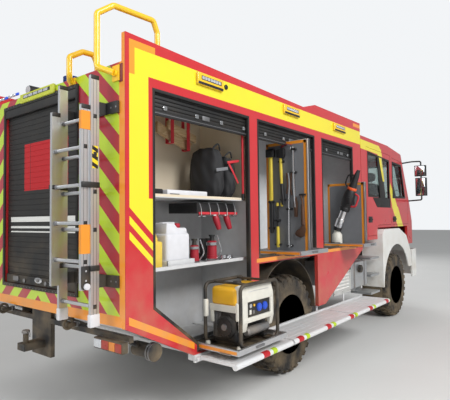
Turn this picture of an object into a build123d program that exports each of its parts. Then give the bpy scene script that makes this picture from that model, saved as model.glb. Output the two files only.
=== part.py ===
from build123d import *
from math import copysign
import os

# Crew-cab fire truck, millimetres. X is to the vehicle's right, Y forward, Z up from the ground.
# Lengths along the vehicle are measured from the body's rear face, which stands at rear_y.
rear_y = -3680.0

# Driving dimensions of the superstructure: along its side come the rear post, then lockers and pillars in turn
body_width = 2500.0
rear_post = 270.0
locker_1_length = 1330.0
pillar_1_width = 140.0
locker_2_length = 1300.0
pillar_2_width = 190.0
locker_3_length = 1030.0
front_post = 300.0
body_skin = 45.0
roof_z = 2980.0
roof_thickness = 40.0
parapet_z = 3150.0
parapet_corner_z = 3200.0
hump_start = 2760.0
hump_peak = 3070.0
hump_z = 3235.0
locker_floor_z = 1360.0
bay_floor_z = 640.0
floor_thickness = 20.0
body_bottom_z = 610.0
departure_z = 970.0
departure_length = 730.0
locker_top_z = 2830.0
locker_back_x = 540.0
locker_wall = 20.0

# Gap left between moving pieces that rest on each other
seat_gap = 0.3

# Driving dimensions of the chassis
axle_set_back = 660.0
wheelbase = 3750.0
tyre_radius = 560.0
tyre_width = 360.0
tyre_inset = 20.0
rim_radius = 262.0
kingpin_inset = 200.0
spindle_radius = 60.0
spindle_clearance = 0.6
rail_outer_x = 430.0
rail_height = 250.0
rail_bottom_z = 850.0
rail_flange = 75.0
rail_wall = 12.0

# Driving dimensions of the cab
cab_inset = 50.0
cab_gap = 140.0
nose_length = 1360.0
cab_bottom_z = 1410.0
cab_wall = 45.0
cab_corner_radius = 230.0
cab_pivot_z = 1200.0
bumper_reach = 90.0
door_gap = 6.0

# Places that follow from them; a pillar is its rear edge and its front edge
pillar_1 = (rear_post + locker_1_length, rear_post + locker_1_length + pillar_1_width)
pillar_2 = (pillar_1[1] + locker_2_length, pillar_1[1] + locker_2_length + pillar_2_width)
front_pillar_y = pillar_2[1] + locker_3_length
body_length = front_pillar_y + front_post
rear_axle_y = pillar_1[1] + axle_set_back
front_axle_y = rear_axle_y + wheelbase
cab_rear_y = body_length + cab_gap
cab_front_y = front_axle_y + nose_length
bumper_front_y = cab_front_y + bumper_reach
rail_front_y = bumper_front_y - 150
cab_pivot_y = cab_front_y - 110
half_body = body_width / 2
half_cab = half_body - cab_inset
skin_inner_x = half_body - body_skin
tyre_outer_x = half_body - tyre_inset
wheel_x = tyre_outer_x - tyre_width / 2
kingpin_x = wheel_x - kingpin_inset
rail_top_z = rail_bottom_z + rail_height

os.makedirs("parts", exist_ok=True)


def side(x):
    """Plane seen from the right: sketch x runs forward from the rear face, sketch y runs up."""
    return Plane(origin=(x, rear_y, 0), x_dir=(0, 1, 0), z_dir=(1, 0, 0))


def across(y):
    """Plane across the vehicle, y from the rear face: sketch x is X, sketch y runs up."""
    return Plane(origin=(0, rear_y + y, 0), x_dir=(1, 0, 0), z_dir=(0, -1, 0))


def level(z):
    """Level plane: sketch x is X, sketch y runs forward from the rear face."""
    return Plane(origin=(0, rear_y, z))


def block(low, high, mode=Mode.ADD):
    """Box between two corners, with y from the rear face."""
    size = [b - a for a, b in zip(low, high)]
    with Locations((low[0], rear_y + low[1], low[2])):
        Box(*size, align=(Align.MIN, Align.MIN, Align.MIN), mode=mode)


def rod(x0, x1, y, z, radius, mode=Mode.ADD):
    """Round bar along X between x0 and x1."""
    with Locations(Location((min(x0, x1), rear_y + y, z), (0, 90, 0))):
        Cylinder(radius, abs(x1 - x0), align=(Align.CENTER, Align.CENTER, Align.MIN), mode=mode)


def post(x, y, z0, z1, radius, mode=Mode.ADD):
    """Upright round bar."""
    with Locations((x, rear_y + y, z0)):
        Cylinder(radius, z1 - z0, align=(Align.CENTER, Align.CENTER, Align.MIN), mode=mode)


def bar(x, z, y0, y1, radius, mode=Mode.ADD):
    """Round bar along Y between y0 and y1."""
    with Locations(Location((x, rear_y + y1, z), (90, 0, 0))):
        Cylinder(radius, y1 - y0, align=(Align.CENTER, Align.CENTER, Align.MIN), mode=mode)


def limb(start, end, radius):
    """Round bar between two points, with y from the rear face."""
    a = Vector(start[0], rear_y + start[1], start[2])
    b = Vector(end[0], rear_y + end[1], end[2])
    with BuildSketch(Plane(origin=a, z_dir=b - a)) as section:
        Circle(radius)
    extrude(section.sketch, amount=(b - a).length)


def bent_tube(points, bend, radius):
    """Tube along a path of straight runs joined by arcs, with y from the rear face."""
    path_points = [(x, rear_y + y, z) for x, y, z in points]
    with BuildLine() as path:
        FilletPolyline(*path_points, radius=bend)
    with BuildSketch(Plane(origin=path.line @ 0, z_dir=path.line % 0)) as section:
        Circle(radius)
    sweep(section.sketch, path=path.line)


def finish(builder, name):
    """Name a finished piece and write it."""
    builder.part.label = name
    export_step(builder.part, f"parts/{name}.step")


# Chassis frame: two channels, tubes across, and bearers that carry the body
subframe_top_z = 1150.0
bearer_ys = (250.0, pillar_1[0] - 50, pillar_2[0] + 310, front_pillar_y + 90)
cross_tube_ys = (300.0, rear_axle_y - 1000, rear_axle_y + 1000, body_length + 40, front_axle_y - 200, front_axle_y + 1000)
cross_tube_radius = 45.0
pivot_pin_radius = 18.0
pivot_ear_x = 380.0
pivot_ear_thickness = 20.0
bearer_width = 100.0
cab_rest_y = cab_rear_y + 90
cab_rest_size = 90.0

with BuildPart() as frame_rails:
    for direction in (1, -1):
        with BuildSketch(across(80.0)):
            with Locations((direction * (rail_outer_x - rail_flange / 2), rail_bottom_z + rail_height / 2)):
                Rectangle(rail_flange, rail_height)
            with Locations((direction * (rail_outer_x - rail_flange / 2 - rail_wall), rail_bottom_z + rail_height / 2)):
                Rectangle(rail_flange, rail_height - 2 * rail_wall, mode=Mode.SUBTRACT)
        extrude(amount=-(rail_front_y - 80.0))
        inner, outer = sorted((direction * (rail_outer_x - rail_flange), direction * rail_outer_x))
        block((inner, 80.0, rail_top_z), (outer, body_length - 60, subframe_top_z))
        ear = direction * pivot_ear_x
        block((ear - pivot_ear_thickness / 2, cab_pivot_y - 45, rail_top_z),
              (ear + pivot_ear_thickness / 2, cab_pivot_y + 45, cab_pivot_z + 35))
        block((inner, cab_rest_y, rail_top_z), (outer, cab_rest_y + cab_rest_size, cab_bottom_z - seat_gap))
    for y in cross_tube_ys:
        rod(-(rail_outer_x - rail_wall / 2), rail_outer_x - rail_wall / 2, y, rail_bottom_z + rail_height / 2,
            cross_tube_radius)
    for y in bearer_ys:
        block((-locker_back_x + locker_wall, y, rail_top_z), (locker_back_x - locker_wall, y + bearer_width, subframe_top_z))
    rod(-pivot_ear_x, pivot_ear_x, cab_pivot_y, cab_pivot_z, pivot_pin_radius)
finish(frame_rails, "frame_rails")

# Axles: housing tube, differential, and the rear spindles
housing_radius = 75.0
differential_radius = 200.0
diff_offset = 90.0
pinion_nose = 235.0
pinion_radius = 70.0
pinion_z = tyre_radius + 30.0
shaft_flange = 40.0
kingpin_radius = 16.0
kingpin_clearance = 0.6
hub_face_x = tyre_outer_x - 170.0
with BuildPart() as axles:
    for y, reach, nose in ((rear_axle_y, hub_face_x - 120, 1), (front_axle_y, kingpin_x - 110, -1)):
        rod(-reach, reach, y, tyre_radius, housing_radius)
        with Locations((diff_offset, rear_y + y, tyre_radius)):
            Sphere(differential_radius)
        y0, y1 = sorted((y, y + nose * pinion_nose))
        bar(diff_offset, pinion_z, y0, y1, pinion_radius)
    for direction in (1, -1):
        rod(direction * (hub_face_x - 130), direction * (hub_face_x + 60), rear_axle_y, tyre_radius, spindle_radius)
        x0, x1 = sorted((direction * (kingpin_x - 115), direction * (kingpin_x - 85)))
        block((x0, front_axle_y - 90, tyre_radius - 110), (x1, front_axle_y + 90, tyre_radius + 110))
        for z in (tyre_radius - 130, tyre_radius + 100):
            x0, x1 = sorted((direction * (kingpin_x - 115), direction * (kingpin_x + 30)))
            block((x0, front_axle_y - 35, z), (x1, front_axle_y + 35, z + 30))
        for z0, z1 in ((tyre_radius - 110, tyre_radius - 60), (tyre_radius + 60, tyre_radius + 110)):
            post(direction * kingpin_x, front_axle_y, z0, z1, kingpin_radius)
finish(axles, "axles")

# Leaf springs, gearbox, transfer case and shafts
spring_x = 390.0
spring_half_length = 640.0
spring_width = 75.0
spring_depth = 70.0
engine_width = 700.0
engine_low_z = 1110.0
engine_high_z = 1600.0
engine_rear_y = front_axle_y - 70
engine_front_y = front_axle_y + 900
gearbox_rear_y = front_axle_y - 700
gearbox_z = (1025.0, 1385.0)
transfer_rear_y = front_axle_y - 1400
transfer_front_y = front_axle_y - 850
transfer_z = (780.0, 1080.0)
shaft_radius = 45.0
shaft_end_radius = 58.0
link_end_radius = 48.0


def prop_shaft(start, end, radius):
    """Shaft with a flange at either end: each end is x, y of the face that it bolts to, and z."""
    sign = copysign(1, end[1] - start[1])
    middles = []
    for (x, y, z), turn in ((start, sign), (end, -sign)):
        y0, y1 = sorted((y + turn * seat_gap, y + turn * (seat_gap + shaft_flange)))
        bar(x, z, y0, y1, radius)
        middles.append((x, (y0 + y1) / 2, z))
    limb(*middles, shaft_radius)


with BuildPart() as running_gear:
    for axle_y in (rear_axle_y, front_axle_y):
        for direction in (1, -1):
            x = direction * spring_x
            with BuildSketch(side(x - spring_width / 2)):
                with BuildLine():
                    eye_z = rail_bottom_z - 20
                    low_z = tyre_radius + housing_radius + seat_gap
                    ThreePointArc((axle_y - spring_half_length, eye_z), (axle_y, low_z),
                                  (axle_y + spring_half_length, eye_z))
                    Line((axle_y + spring_half_length, eye_z), (axle_y + spring_half_length, eye_z + 20))
                    ThreePointArc((axle_y + spring_half_length, eye_z + 20), (axle_y, low_z + spring_depth),
                                  (axle_y - spring_half_length, eye_z + 20))
                    Line((axle_y - spring_half_length, eye_z + 20), (axle_y - spring_half_length, eye_z))
                make_face()
            extrude(amount=spring_width)
    # Gearbox behind the engine, transfer case on its own cross member, and the three shafts
    block((-200, gearbox_rear_y, gearbox_z[0]), (200, engine_rear_y - seat_gap, gearbox_z[1]))
    block((-170, transfer_rear_y, transfer_z[0]), (170, transfer_front_y, transfer_z[1]))
    block((-(rail_outer_x - rail_wall), transfer_rear_y + 250, 900), (rail_outer_x - rail_wall, transfer_rear_y + 310, 960))
    prop_shaft((0, transfer_front_y, 1030), (0, gearbox_rear_y, 1075), link_end_radius)
    prop_shaft((diff_offset, rear_axle_y + pinion_nose, pinion_z), (diff_offset, transfer_rear_y, 850), shaft_end_radius)
    prop_shaft((diff_offset, front_axle_y - pinion_nose, pinion_z), (diff_offset, transfer_front_y, 850), shaft_end_radius)
finish(running_gear, "running_gear")

# Engine: one plain block on its cross member
with BuildPart() as engine:
    block((-engine_width / 2, engine_rear_y, engine_low_z), (engine_width / 2, engine_front_y, engine_high_z))
    block((-rail_outer_x, front_axle_y + 150, rail_top_z), (rail_outer_x, front_axle_y + 230, engine_low_z + 5))
finish(engine, "engine")

tank_half_width = 480.0
with BuildPart() as water_tank:
    block((-tank_half_width, pillar_1[0] - 300, subframe_top_z), (tank_half_width, front_pillar_y + 40, 2380))
finish(water_tank, "water_tank")

# Front bumper: a wrapped skin with lamp pockets and an air opening
bumper_rear_y = bumper_front_y - 490
bumper_low_z = 600.0
bumper_top_z = 1135.0
bumper_half = half_body - 10
bumper_corner = 230.0
bumper_skin = 30.0
lamp_centre_x = bumper_half - 310
lamp_width = 300.0
lamp_height = 170.0
lamp_z = 900.0
with BuildPart() as front_bumper:
    with BuildSketch(level(bumper_low_z)):
        with BuildLine():
            FilletPolyline((-bumper_half, bumper_rear_y), (-bumper_half, bumper_front_y), (bumper_half, bumper_front_y),
                           (bumper_half, bumper_rear_y), radius=bumper_corner)
            inner = bumper_half - bumper_skin
            Line((bumper_half, bumper_rear_y), (inner, bumper_rear_y))
            FilletPolyline((inner, bumper_rear_y), (inner, bumper_front_y - bumper_skin),
                           (-inner, bumper_front_y - bumper_skin), (-inner, bumper_rear_y),
                           radius=bumper_corner - bumper_skin)
            Line((-inner, bumper_rear_y), (-bumper_half, bumper_rear_y))
        make_face()
    extrude(amount=bumper_top_z - bumper_low_z)
    with BuildSketch(across(bumper_front_y - 60)):
        for x in (-lamp_centre_x, lamp_centre_x):
            with Locations((x, lamp_z)):
                RectangleRounded(lamp_width, lamp_height, 12)
        with Locations((0, lamp_z - 60)):
            RectangleRounded(1100, 260, 40)
    extrude(amount=-120, mode=Mode.SUBTRACT)
    for x0, x1 in ((-rail_outer_x + 5, -rail_outer_x + 70), (rail_outer_x - 70, rail_outer_x - 5)):
        block((x0, rail_front_y, rail_bottom_z + 40), (x1, bumper_front_y - bumper_skin, rail_top_z - 40))
finish(front_bumper, "front_bumper")

# Front mudguards: a band over the wheel with a side plate cut to the arch
guard_inner_x = wheel_x - 150
guard_outer_x = half_body + 12
guard_band = 22.0
guard_side = 20.0
arch_radius = 700.0
arch_lift = 30.0
guard_top_z = 1572.0
guard_points = [(-735, 600), (-735, 1495), (-655, guard_top_z), (150, guard_top_z), (560, 1430), (800, 1130), (860, 830)]
with BuildPart() as front_mudguards:
    for direction in (1, -1):
        outer = [(front_axle_y + y, z) for y, z in guard_points]
        centre = (front_axle_y, tyre_radius + arch_lift)
        x0, x1 = sorted((direction * guard_inner_x, direction * guard_outer_x))
        plate_x = direction * (guard_outer_x - guard_side)
        with BuildSketch(side(min(plate_x, direction * guard_outer_x))) as plate:
            Polygon(*outer, align=None)
            with Locations(centre):
                Circle(arch_radius, mode=Mode.SUBTRACT)
            with Locations((front_axle_y + 860, 700)):
                Rectangle(500, 260, mode=Mode.SUBTRACT)
        with BuildSketch(side(x0)) as band:
            with BuildLine():
                outline = Polyline(*outer)
                offset(outline, amount=guard_band, side=Side.RIGHT)
            make_face()
        extrude(plate.sketch, amount=guard_side)
        extrude(band.sketch, amount=x1 - x0)
        x0, x1 = sorted((direction * rail_outer_x, direction * (guard_inner_x + 5)))
        block((x0, front_axle_y + guard_points[0][0], 960), (x1, front_axle_y + guard_points[0][0] + guard_band, 1020))
        block((x0, front_axle_y + 800, 960), (x1, front_axle_y + 825, 1020))
finish(front_mudguards, "front_mudguards")

# Rear wheel arches over the rear tyres
rear_arch_radius = 650.0
rear_arch_skin = 12.0
rear_arch_z = 655.0
rear_arch_inner_x = locker_back_x + 20
with BuildPart() as rear_arches:
    for direction in (1, -1):
        x0, x1 = sorted((direction * rear_arch_inner_x, direction * (skin_inner_x - 2)))
        with BuildSketch(side(x0)) as arch:
            with Locations((rear_axle_y, rear_arch_z)):
                Circle(rear_arch_radius)
                Circle(rear_arch_radius - rear_arch_skin, mode=Mode.SUBTRACT)
            with Locations((rear_axle_y, rear_arch_z - 2 * rear_arch_radius)):
                Rectangle(4 * rear_arch_radius, 4 * rear_arch_radius, mode=Mode.SUBTRACT)
        extrude(arch.sketch, amount=x1 - x0)
finish(rear_arches, "rear_arches")

# Body sides: one outline, three locker openings and the wheel cut
rear_pillar_y = rear_post
sill_slope = [(rear_post, 1075), (rear_post + 500, 690), (rear_post + 500, 620)]
side_outline = [
    (0, departure_z), (departure_length, body_bottom_z), (pillar_1[1], body_bottom_z), (pillar_1[1], 1305),
    (pillar_2[0] + 20, 1305), (pillar_2[0] + 20, 660), (pillar_2[1] + 30, 660), (body_length, 1290),
    (body_length, hump_z),
    (hump_peak, hump_z), (hump_start, parapet_z), (0, parapet_corner_z),
]
locker_1 = sill_slope + [(pillar_1[0], 620), (pillar_1[0], locker_top_z), (rear_pillar_y, locker_top_z)]
# Openings over the wheel: rear edge, front edge
upper_openings = ((pillar_1[1], pillar_2[0]), (pillar_2[1], front_pillar_y))


def body_side(direction):
    x = skin_inner_x if direction > 0 else -half_body
    with BuildSketch(side(x)) as skin:
        Polygon(*side_outline, align=None)
        Polygon(*locker_1, align=None, mode=Mode.SUBTRACT)
        for y0, y1 in upper_openings:
            with Locations(((y0 + y1) / 2, (locker_floor_z + locker_top_z) / 2)):
                Rectangle(y1 - y0, locker_top_z - locker_floor_z, mode=Mode.SUBTRACT)
    extrude(skin.sketch, amount=body_skin)


with BuildPart() as body_side_right:
    body_side(1)
finish(body_side_right, "body_side_right")

with BuildPart() as body_side_left:
    body_side(-1)
finish(body_side_left, "body_side_left")

# Rear wall with its shutter opening, roof deck and front bulkhead
rear_wall = 45.0
rear_opening_half = 620.0
rear_opening_low_z = 1175.0
rear_opening_top_z = 2890.0
with BuildPart() as body_rear_wall:
    block((-skin_inner_x, 0, departure_z + 5), (skin_inner_x, rear_wall, roof_z))
    block((-rear_opening_half, -10, rear_opening_low_z), (rear_opening_half, rear_wall + 10, rear_opening_top_z),
          mode=Mode.SUBTRACT)
finish(body_rear_wall, "body_rear_wall")

with BuildPart() as body_roof:
    block((-skin_inner_x, rear_wall, roof_z - roof_thickness), (skin_inner_x, body_length, roof_z))
    block((-skin_inner_x, body_length - rear_wall, 1290), (skin_inner_x, body_length, roof_z))
finish(body_roof, "body_roof")

# Locker boxes behind the right openings; behind the left shutters only the pan that closes them below
bay_back = locker_back_x
pan_outline = [
    (rear_wall, departure_z - 20), (departure_length + 10, body_bottom_z + 2), (pillar_1[1] - 5, body_bottom_z + 2),
    (pillar_1[1] - 5, 1305), (body_length - rear_wall, 1305),
]
pan_floor = [
    (body_length - rear_wall, locker_floor_z), (pillar_1[1] - 5, locker_floor_z), (pillar_1[0] + 60, locker_floor_z),
    (pillar_1[0] + 60, bay_floor_z), (rear_post + 500, bay_floor_z), (rear_post, 1072), (rear_wall, 1110),
]
cavity_top_z = roof_z - roof_thickness - 20
# Locker cavities: the floor line from the rear, then the ceiling closes each one
cavities = (
    [(rear_wall + 20, 1100), (rear_post, 1072), (rear_post + 500, bay_floor_z), (pillar_1[0] + 40, bay_floor_z),
     (pillar_1[0] + 40, cavity_top_z), (rear_wall + 20, cavity_top_z)],
    [(pillar_1[1] - 40, locker_floor_z), (pillar_2[0] + 60, locker_floor_z), (pillar_2[0] + 60, cavity_top_z),
     (pillar_1[1] - 40, cavity_top_z)],
    [(pillar_2[1] - 60, locker_floor_z), (body_length - rear_wall - 40, locker_floor_z),
     (body_length - rear_wall - 40, cavity_top_z), (pillar_2[1] - 60, cavity_top_z)],
)
with BuildPart() as locker_walls:
    with BuildSketch(side(bay_back - locker_wall)) as shell_outline:
        Polygon(*pan_outline, (body_length - rear_wall, roof_z - roof_thickness), (rear_wall, roof_z - roof_thickness),
                align=None)
    extrude(shell_outline.sketch, amount=skin_inner_x - bay_back + locker_wall)
    for cavity in cavities:
        with BuildSketch(side(bay_back)) as hollow:
            Polygon(*cavity, align=None)
        extrude(hollow.sketch, amount=skin_inner_x - bay_back, mode=Mode.SUBTRACT)
    with BuildSketch(side(-skin_inner_x)) as left_pan:
        Polygon(*pan_outline, *pan_floor, align=None)
    extrude(left_pan.sketch, amount=skin_inner_x - bay_back + locker_wall)
finish(locker_walls, "locker_walls")

# Shelves of locker 1 and the runners under the three trays
shelf_zs = (1350.0, 1960.0)
runner_height = 14.0
runner_width = 40.0
# Trays: node, rear y, front y, outer x, floor z, board y, board top z
trays = (
    ("tray_generator", departure_length + 70, pillar_1[0] - 30, half_body + 430, bay_floor_z, None, None),
    ("tray_tools", pillar_1[1] + 340, pillar_2[0] - 320, half_body + 310, locker_floor_z, pillar_1[1] + 650, 2670.0),
    ("tray_rescue", pillar_2[1] + 490, front_pillar_y - 80, half_body + 350, locker_floor_z, front_pillar_y - 300, 2270.0),
)
tray_length = 630.0
tray_rim = 46.0
tray_skin = 8.0
tray_rim_width = 24.0
runner_gap = 0.3
with BuildPart() as locker_shelves:
    for z in shelf_zs:
        block((bay_back + seat_gap, rear_wall + 20 + seat_gap, z), (skin_inner_x - 45, pillar_1[0] + 40 - seat_gap, z + 30))
        block((bay_back + 20, rear_wall + 30, z + 5), (skin_inner_x - 65, pillar_1[0] + 30, z + 31), mode=Mode.SUBTRACT)
    for name, y0, y1, outer_x, floor_z, board_y, board_z in trays:
        for y in (y0 + 60, y1 - 60 - runner_width):
            block((bay_back + 10, y, floor_z), (skin_inner_x, y + runner_width, floor_z + runner_height))
finish(locker_shelves, "locker_shelves")

# Roller shutters: the rear and the left ones are down, the right ones are rolled up with their bars showing
slat_depth = 12.0
slat_pitch = 50.0
shutter_frame = 28.0
shutter_set_back = 8.0
shutter_roll_height = 150.0
gap = 0.4


def slat_curtain(low_z, high_z):
    """Side profile of a curtain in its own plane: shallow ridges, one to a slat."""
    count = round((high_z - low_z) / slat_pitch)
    pitch = (high_z - low_z) / count
    points = [(0, low_z)]
    for i in range(count):
        points += [(slat_depth, low_z + i * pitch + 5), (slat_depth, low_z + (i + 1) * pitch - 5), (slat_depth - 4, low_z + (i + 1) * pitch)]
    return points + [(0, high_z)]


with BuildPart() as roller_shutters:
    # Rear curtain, its ridges facing backwards
    curtain = [(rear_wall - shutter_set_back - d, z) for d, z in slat_curtain(rear_opening_low_z + gap, rear_opening_top_z - gap)]
    with BuildSketch(side(-rear_opening_half + gap)) as rear_curtain:
        Polygon(*curtain, align=None)
    extrude(rear_curtain.sketch, amount=2 * (rear_opening_half - gap))
    block((-rear_opening_half - shutter_frame, -14, rear_opening_low_z - shutter_frame), (rear_opening_half + shutter_frame, 0, rear_opening_top_z + shutter_frame))
    block((-rear_opening_half + 4, -15, rear_opening_low_z + 4), (rear_opening_half - 4, 1, rear_opening_top_z - 4), mode=Mode.SUBTRACT)
    # Left curtains, closed, their ridges facing left
    for y0, y1, low_z in ((rear_pillar_y, pillar_1[0], 1080.0),) + tuple((a, b, locker_floor_z) for a, b in upper_openings):
        profile = [(-skin_inner_x - 4 - d, z) for d, z in slat_curtain(low_z + gap, locker_top_z - gap)]
        with BuildSketch(across(y1 - gap)) as left_curtain:
            Polygon(*profile, align=None)
        extrude(left_curtain.sketch, amount=y1 - y0 - 2 * gap)
    # Left lower bay flap under the first curtain
    with BuildSketch(side(-skin_inner_x - 20)) as flap:
        Polygon((rear_post + 8, 1078), (rear_post + 508, 696), (rear_post + 508, 642), (pillar_1[0] - gap, 642),
                (pillar_1[0] - gap, 1078), align=None)
    extrude(flap.sketch, amount=18)
    # Right curtains rolled up behind the top edge of each opening
    for y0, y1 in ((rear_pillar_y, pillar_1[0]),) + upper_openings:
        with BuildSketch(across(y1 - 6)) as roll:
            with Locations((skin_inner_x - 82, locker_top_z - 62)):
                Circle(60)
            with Locations((skin_inner_x - seat_gap - 7, locker_top_z + 20 - shutter_roll_height / 2)):
                Rectangle(14, shutter_roll_height)
            with Locations((skin_inner_x - 20, locker_top_z - 62)):
                Rectangle(16, 50)
        extrude(roll.sketch, amount=y1 - y0 - 12)
finish(roller_shutters, "roller_shutters")

# Two-section ladder on the rear wall: section, x centre, half width, stile rear face, low z, top z, rung z of first
ladder_x = half_body - 425
ladder_sections = (
    (ladder_x, 225.0, -88.0, 985.0, 2870.0, 1135.0),
    (ladder_x, 212.0, -162.0, 1265.0, 2635.0, 1470.0),
)
stile_width = 26.0
stile_depth = 74.0
rung_radius = 14.0
rung_pitch = 285.0
with BuildPart() as ladder:
    for x, half, y, low_z, top_z, first_z in ladder_sections:
        for stile_x in (x - half, x + half - stile_width):
            block((stile_x, y - stile_depth, low_z), (stile_x + stile_width, y, top_z))
        z = first_z
        while z < top_z - 60:
            rod(x - half + 2, x + half - 2, y - stile_depth / 2, z, rung_radius)
            z += rung_pitch
finish(ladder, "ladder")

# Ladder brackets on the wall: x low, x high, z low, z high
bracket_plates = ((ladder_x - 265, half_body - 70, 2590.0, 2680.0), (ladder_x - 265, half_body - 70, 1270.0, 1360.0))
with BuildPart() as ladder_brackets:
    for x0, x1, z0, z1 in bracket_plates:
        block((x0, -22, z0), (x1, -15, z1))
        block((x1 - 90, -16, z0), (x1, 0, z1))
        x, half, y = ladder_sections[0][:3]
        for stile_x in (x - half + stile_width / 2, x + half - stile_width / 2):
            block((stile_x - 5, y, z0), (stile_x + 5, -16, z1))
finish(ladder_brackets, "ladder_brackets")

# Yellow handrails over the rear roof edge
rail_tube = 24.0
# Each point is its distance in from the body's side, y and z
right_hoop = [(100, -30, 2895), (220, -95, 2950), (220, -95, 3370), (190, 40, 3470), (160, 430, 3475), (160, 475, 3380),
              (160, 475, roof_z + 1)]
left_hoop = [(690, -30, 2950), (650, -60, 2985), (650, -60, 3140), (640, 60, 3215), (630, 160, 3215), (630, 200, 3140),
             (630, 200, roof_z + 1)]
with BuildPart() as roof_handrails:
    for hoop, plate in ((right_hoop, 60), (left_hoop, 28)):
        points = [(half_body - inwards, y, z) for inwards, y, z in hoop]
        bent_tube(points, 35, rail_tube)
        x, y, z = points[0]
        block((x - 40, -14, z - plate), (x + 40, 0, z + plate))
        bar(x, z, -32, -13, rail_tube)
        post(points[-1][0], points[-1][1], roof_z, roof_z + 10, 45)
finish(roof_handrails, "roof_handrails")

# Load on the roof: lighting mast box, hose roll, mesh strainer basket and side box
with BuildPart() as roof_load:
    block((-1000, 420, roof_z), (-150, 640, roof_z + 60))
    block((-1050, 440, roof_z + 60), (-480, 620, roof_z + 230))
    bar(-980, roof_z + 290, 400, 660, 60)
    post(-300, 530, roof_z + 60, roof_z + 330, 85)
    block((-950, 250, roof_z), (-500, 380, roof_z + 120))
    block((150, 1200, roof_z), (900, 3600, roof_z + 240))
finish(roof_load, "roof_load")

# Trays on their runners, with the upright boards that two of them carry
board_thickness = 22.0
board_inset = 50.0
for name, y0, y1, outer_x, floor_z, board_y, board_z in trays:
    low_z = floor_z + runner_height + runner_gap
    inner_x = outer_x - tray_length
    with BuildPart() as tray:
        block((inner_x, y0, low_z), (outer_x, y1, low_z + tray_rim))
        block((inner_x + tray_rim_width, y0 + tray_rim_width, low_z + tray_skin),
              (outer_x - tray_rim_width, y1 - tray_rim_width, low_z + tray_rim + 1), mode=Mode.SUBTRACT)
        if board_y:
            block((inner_x + 10, board_y - board_thickness / 2, low_z + tray_skin),
                  (outer_x - board_inset, board_y + board_thickness / 2, board_z))
    finish(tray, name)

# Generator on its tray: tube frame, then the set inside it
set_rear_y = trays[0][1] + 90
set_front_y = trays[0][2] - 70
set_inner_x = trays[0][3] - 465
set_outer_x = trays[0][3] - 40
set_low_z = bay_floor_z + runner_height + runner_gap + tray_skin
set_height = 560.0
frame_tube = 16.0
set_top_z = set_low_z + set_height
with BuildPart() as generator_frame:
    corner = frame_tube + 0.5
    for x in (set_inner_x + corner, set_outer_x - corner):
        low = set_low_z + corner
        loop = [(x, set_rear_y + 150, low), (x, set_rear_y + corner, low), (x, set_rear_y + corner, set_top_z - corner),
                (x, set_front_y - corner, set_top_z - corner), (x, set_front_y - corner, low), (x, set_front_y - 150, low)]
        bent_tube(loop, 60, frame_tube)
    for y in (set_rear_y + 130, set_front_y - 130):
        rod(set_inner_x + corner, set_outer_x - corner, y, set_top_z - corner, frame_tube * 0.7)
        rod(set_inner_x + corner, set_outer_x - corner, y, set_low_z + corner, frame_tube * 0.7)
finish(generator_frame, "generator_frame")

frame_clear = 2 * frame_tube + 3
with BuildPart() as generator_set:
    block((set_inner_x + frame_clear, set_rear_y + 60, set_low_z + 45), (set_outer_x - frame_clear, set_front_y - 60, set_low_z + 330))
    block((set_inner_x + frame_clear, set_rear_y + 50, set_low_z + 330), (set_outer_x - frame_clear - 30, set_front_y - 50, set_top_z - 42))
    block((set_outer_x - frame_clear - 30, set_rear_y + 70, set_low_z + 60), (set_outer_x - frame_clear, set_front_y - 70, set_top_z - 60))
    for y in (set_rear_y + 110, set_front_y - 150):
        block((set_inner_x + 80, y, set_low_z + 28), (set_outer_x - 80, y + 40, set_low_z + 46))
    bar((set_inner_x + set_outer_x) / 2, set_low_z + 185, set_rear_y + 25, set_rear_y + 62, 95)
finish(generator_set, "generator_set")

# Hand tools hung on the board of the second tray: distance in from the tray's edge, low z, high z, handle radius, head half width, head height
board_face_y = trays[1][5] - board_thickness / 2
hand_tool_table = (
    (540.0, 1750.0, 2560.0, 18.0, 40.0, 120.0),
    (410.0, 1520.0, 2480.0, 14.0, 70.0, 60.0),
    (300.0, 1520.0, 2400.0, 12.0, 30.0, 200.0),
    (215.0, 1620.0, 2590.0, 12.0, 45.0, 40.0),
    (130.0, 1700.0, 2250.0, 14.0, 40.0, 260.0),
)
tool_stand_off = 24.0
with BuildPart() as hand_tools:
    for inwards, low_z, high_z, radius, head, head_height in hand_tool_table:
        x = trays[1][3] - inwards
        post(x, board_face_y - tool_stand_off, low_z, high_z, radius)
        block((x - head, board_face_y - tool_stand_off - 18, high_z - head_height), (x + head, board_face_y, high_z))
finish(hand_tools, "hand_tools")

# Rescue tool leaning on the third tray
tool_x = trays[2][3]
tool_y = front_pillar_y - 410
with BuildPart() as rescue_tool:
    limb((tool_x - 420, tool_y, 1640), (tool_x - 270, tool_y, 2010), 62)
    limb((tool_x - 270, tool_y, 2010), (tool_x - 200, tool_y, 2180), 80)
    limb((tool_x - 200, tool_y, 2180), (tool_x - 100, tool_y, 2430), 45)
    block((tool_x - 510, tool_y - 80, locker_floor_z + runner_height + runner_gap + tray_skin), (tool_x - 370, tool_y + 80, 1600))
    limb((tool_x - 440, tool_y, 1595), (tool_x - 415, tool_y, 1650), 60)
finish(rescue_tool, "rescue_tool")

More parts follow.
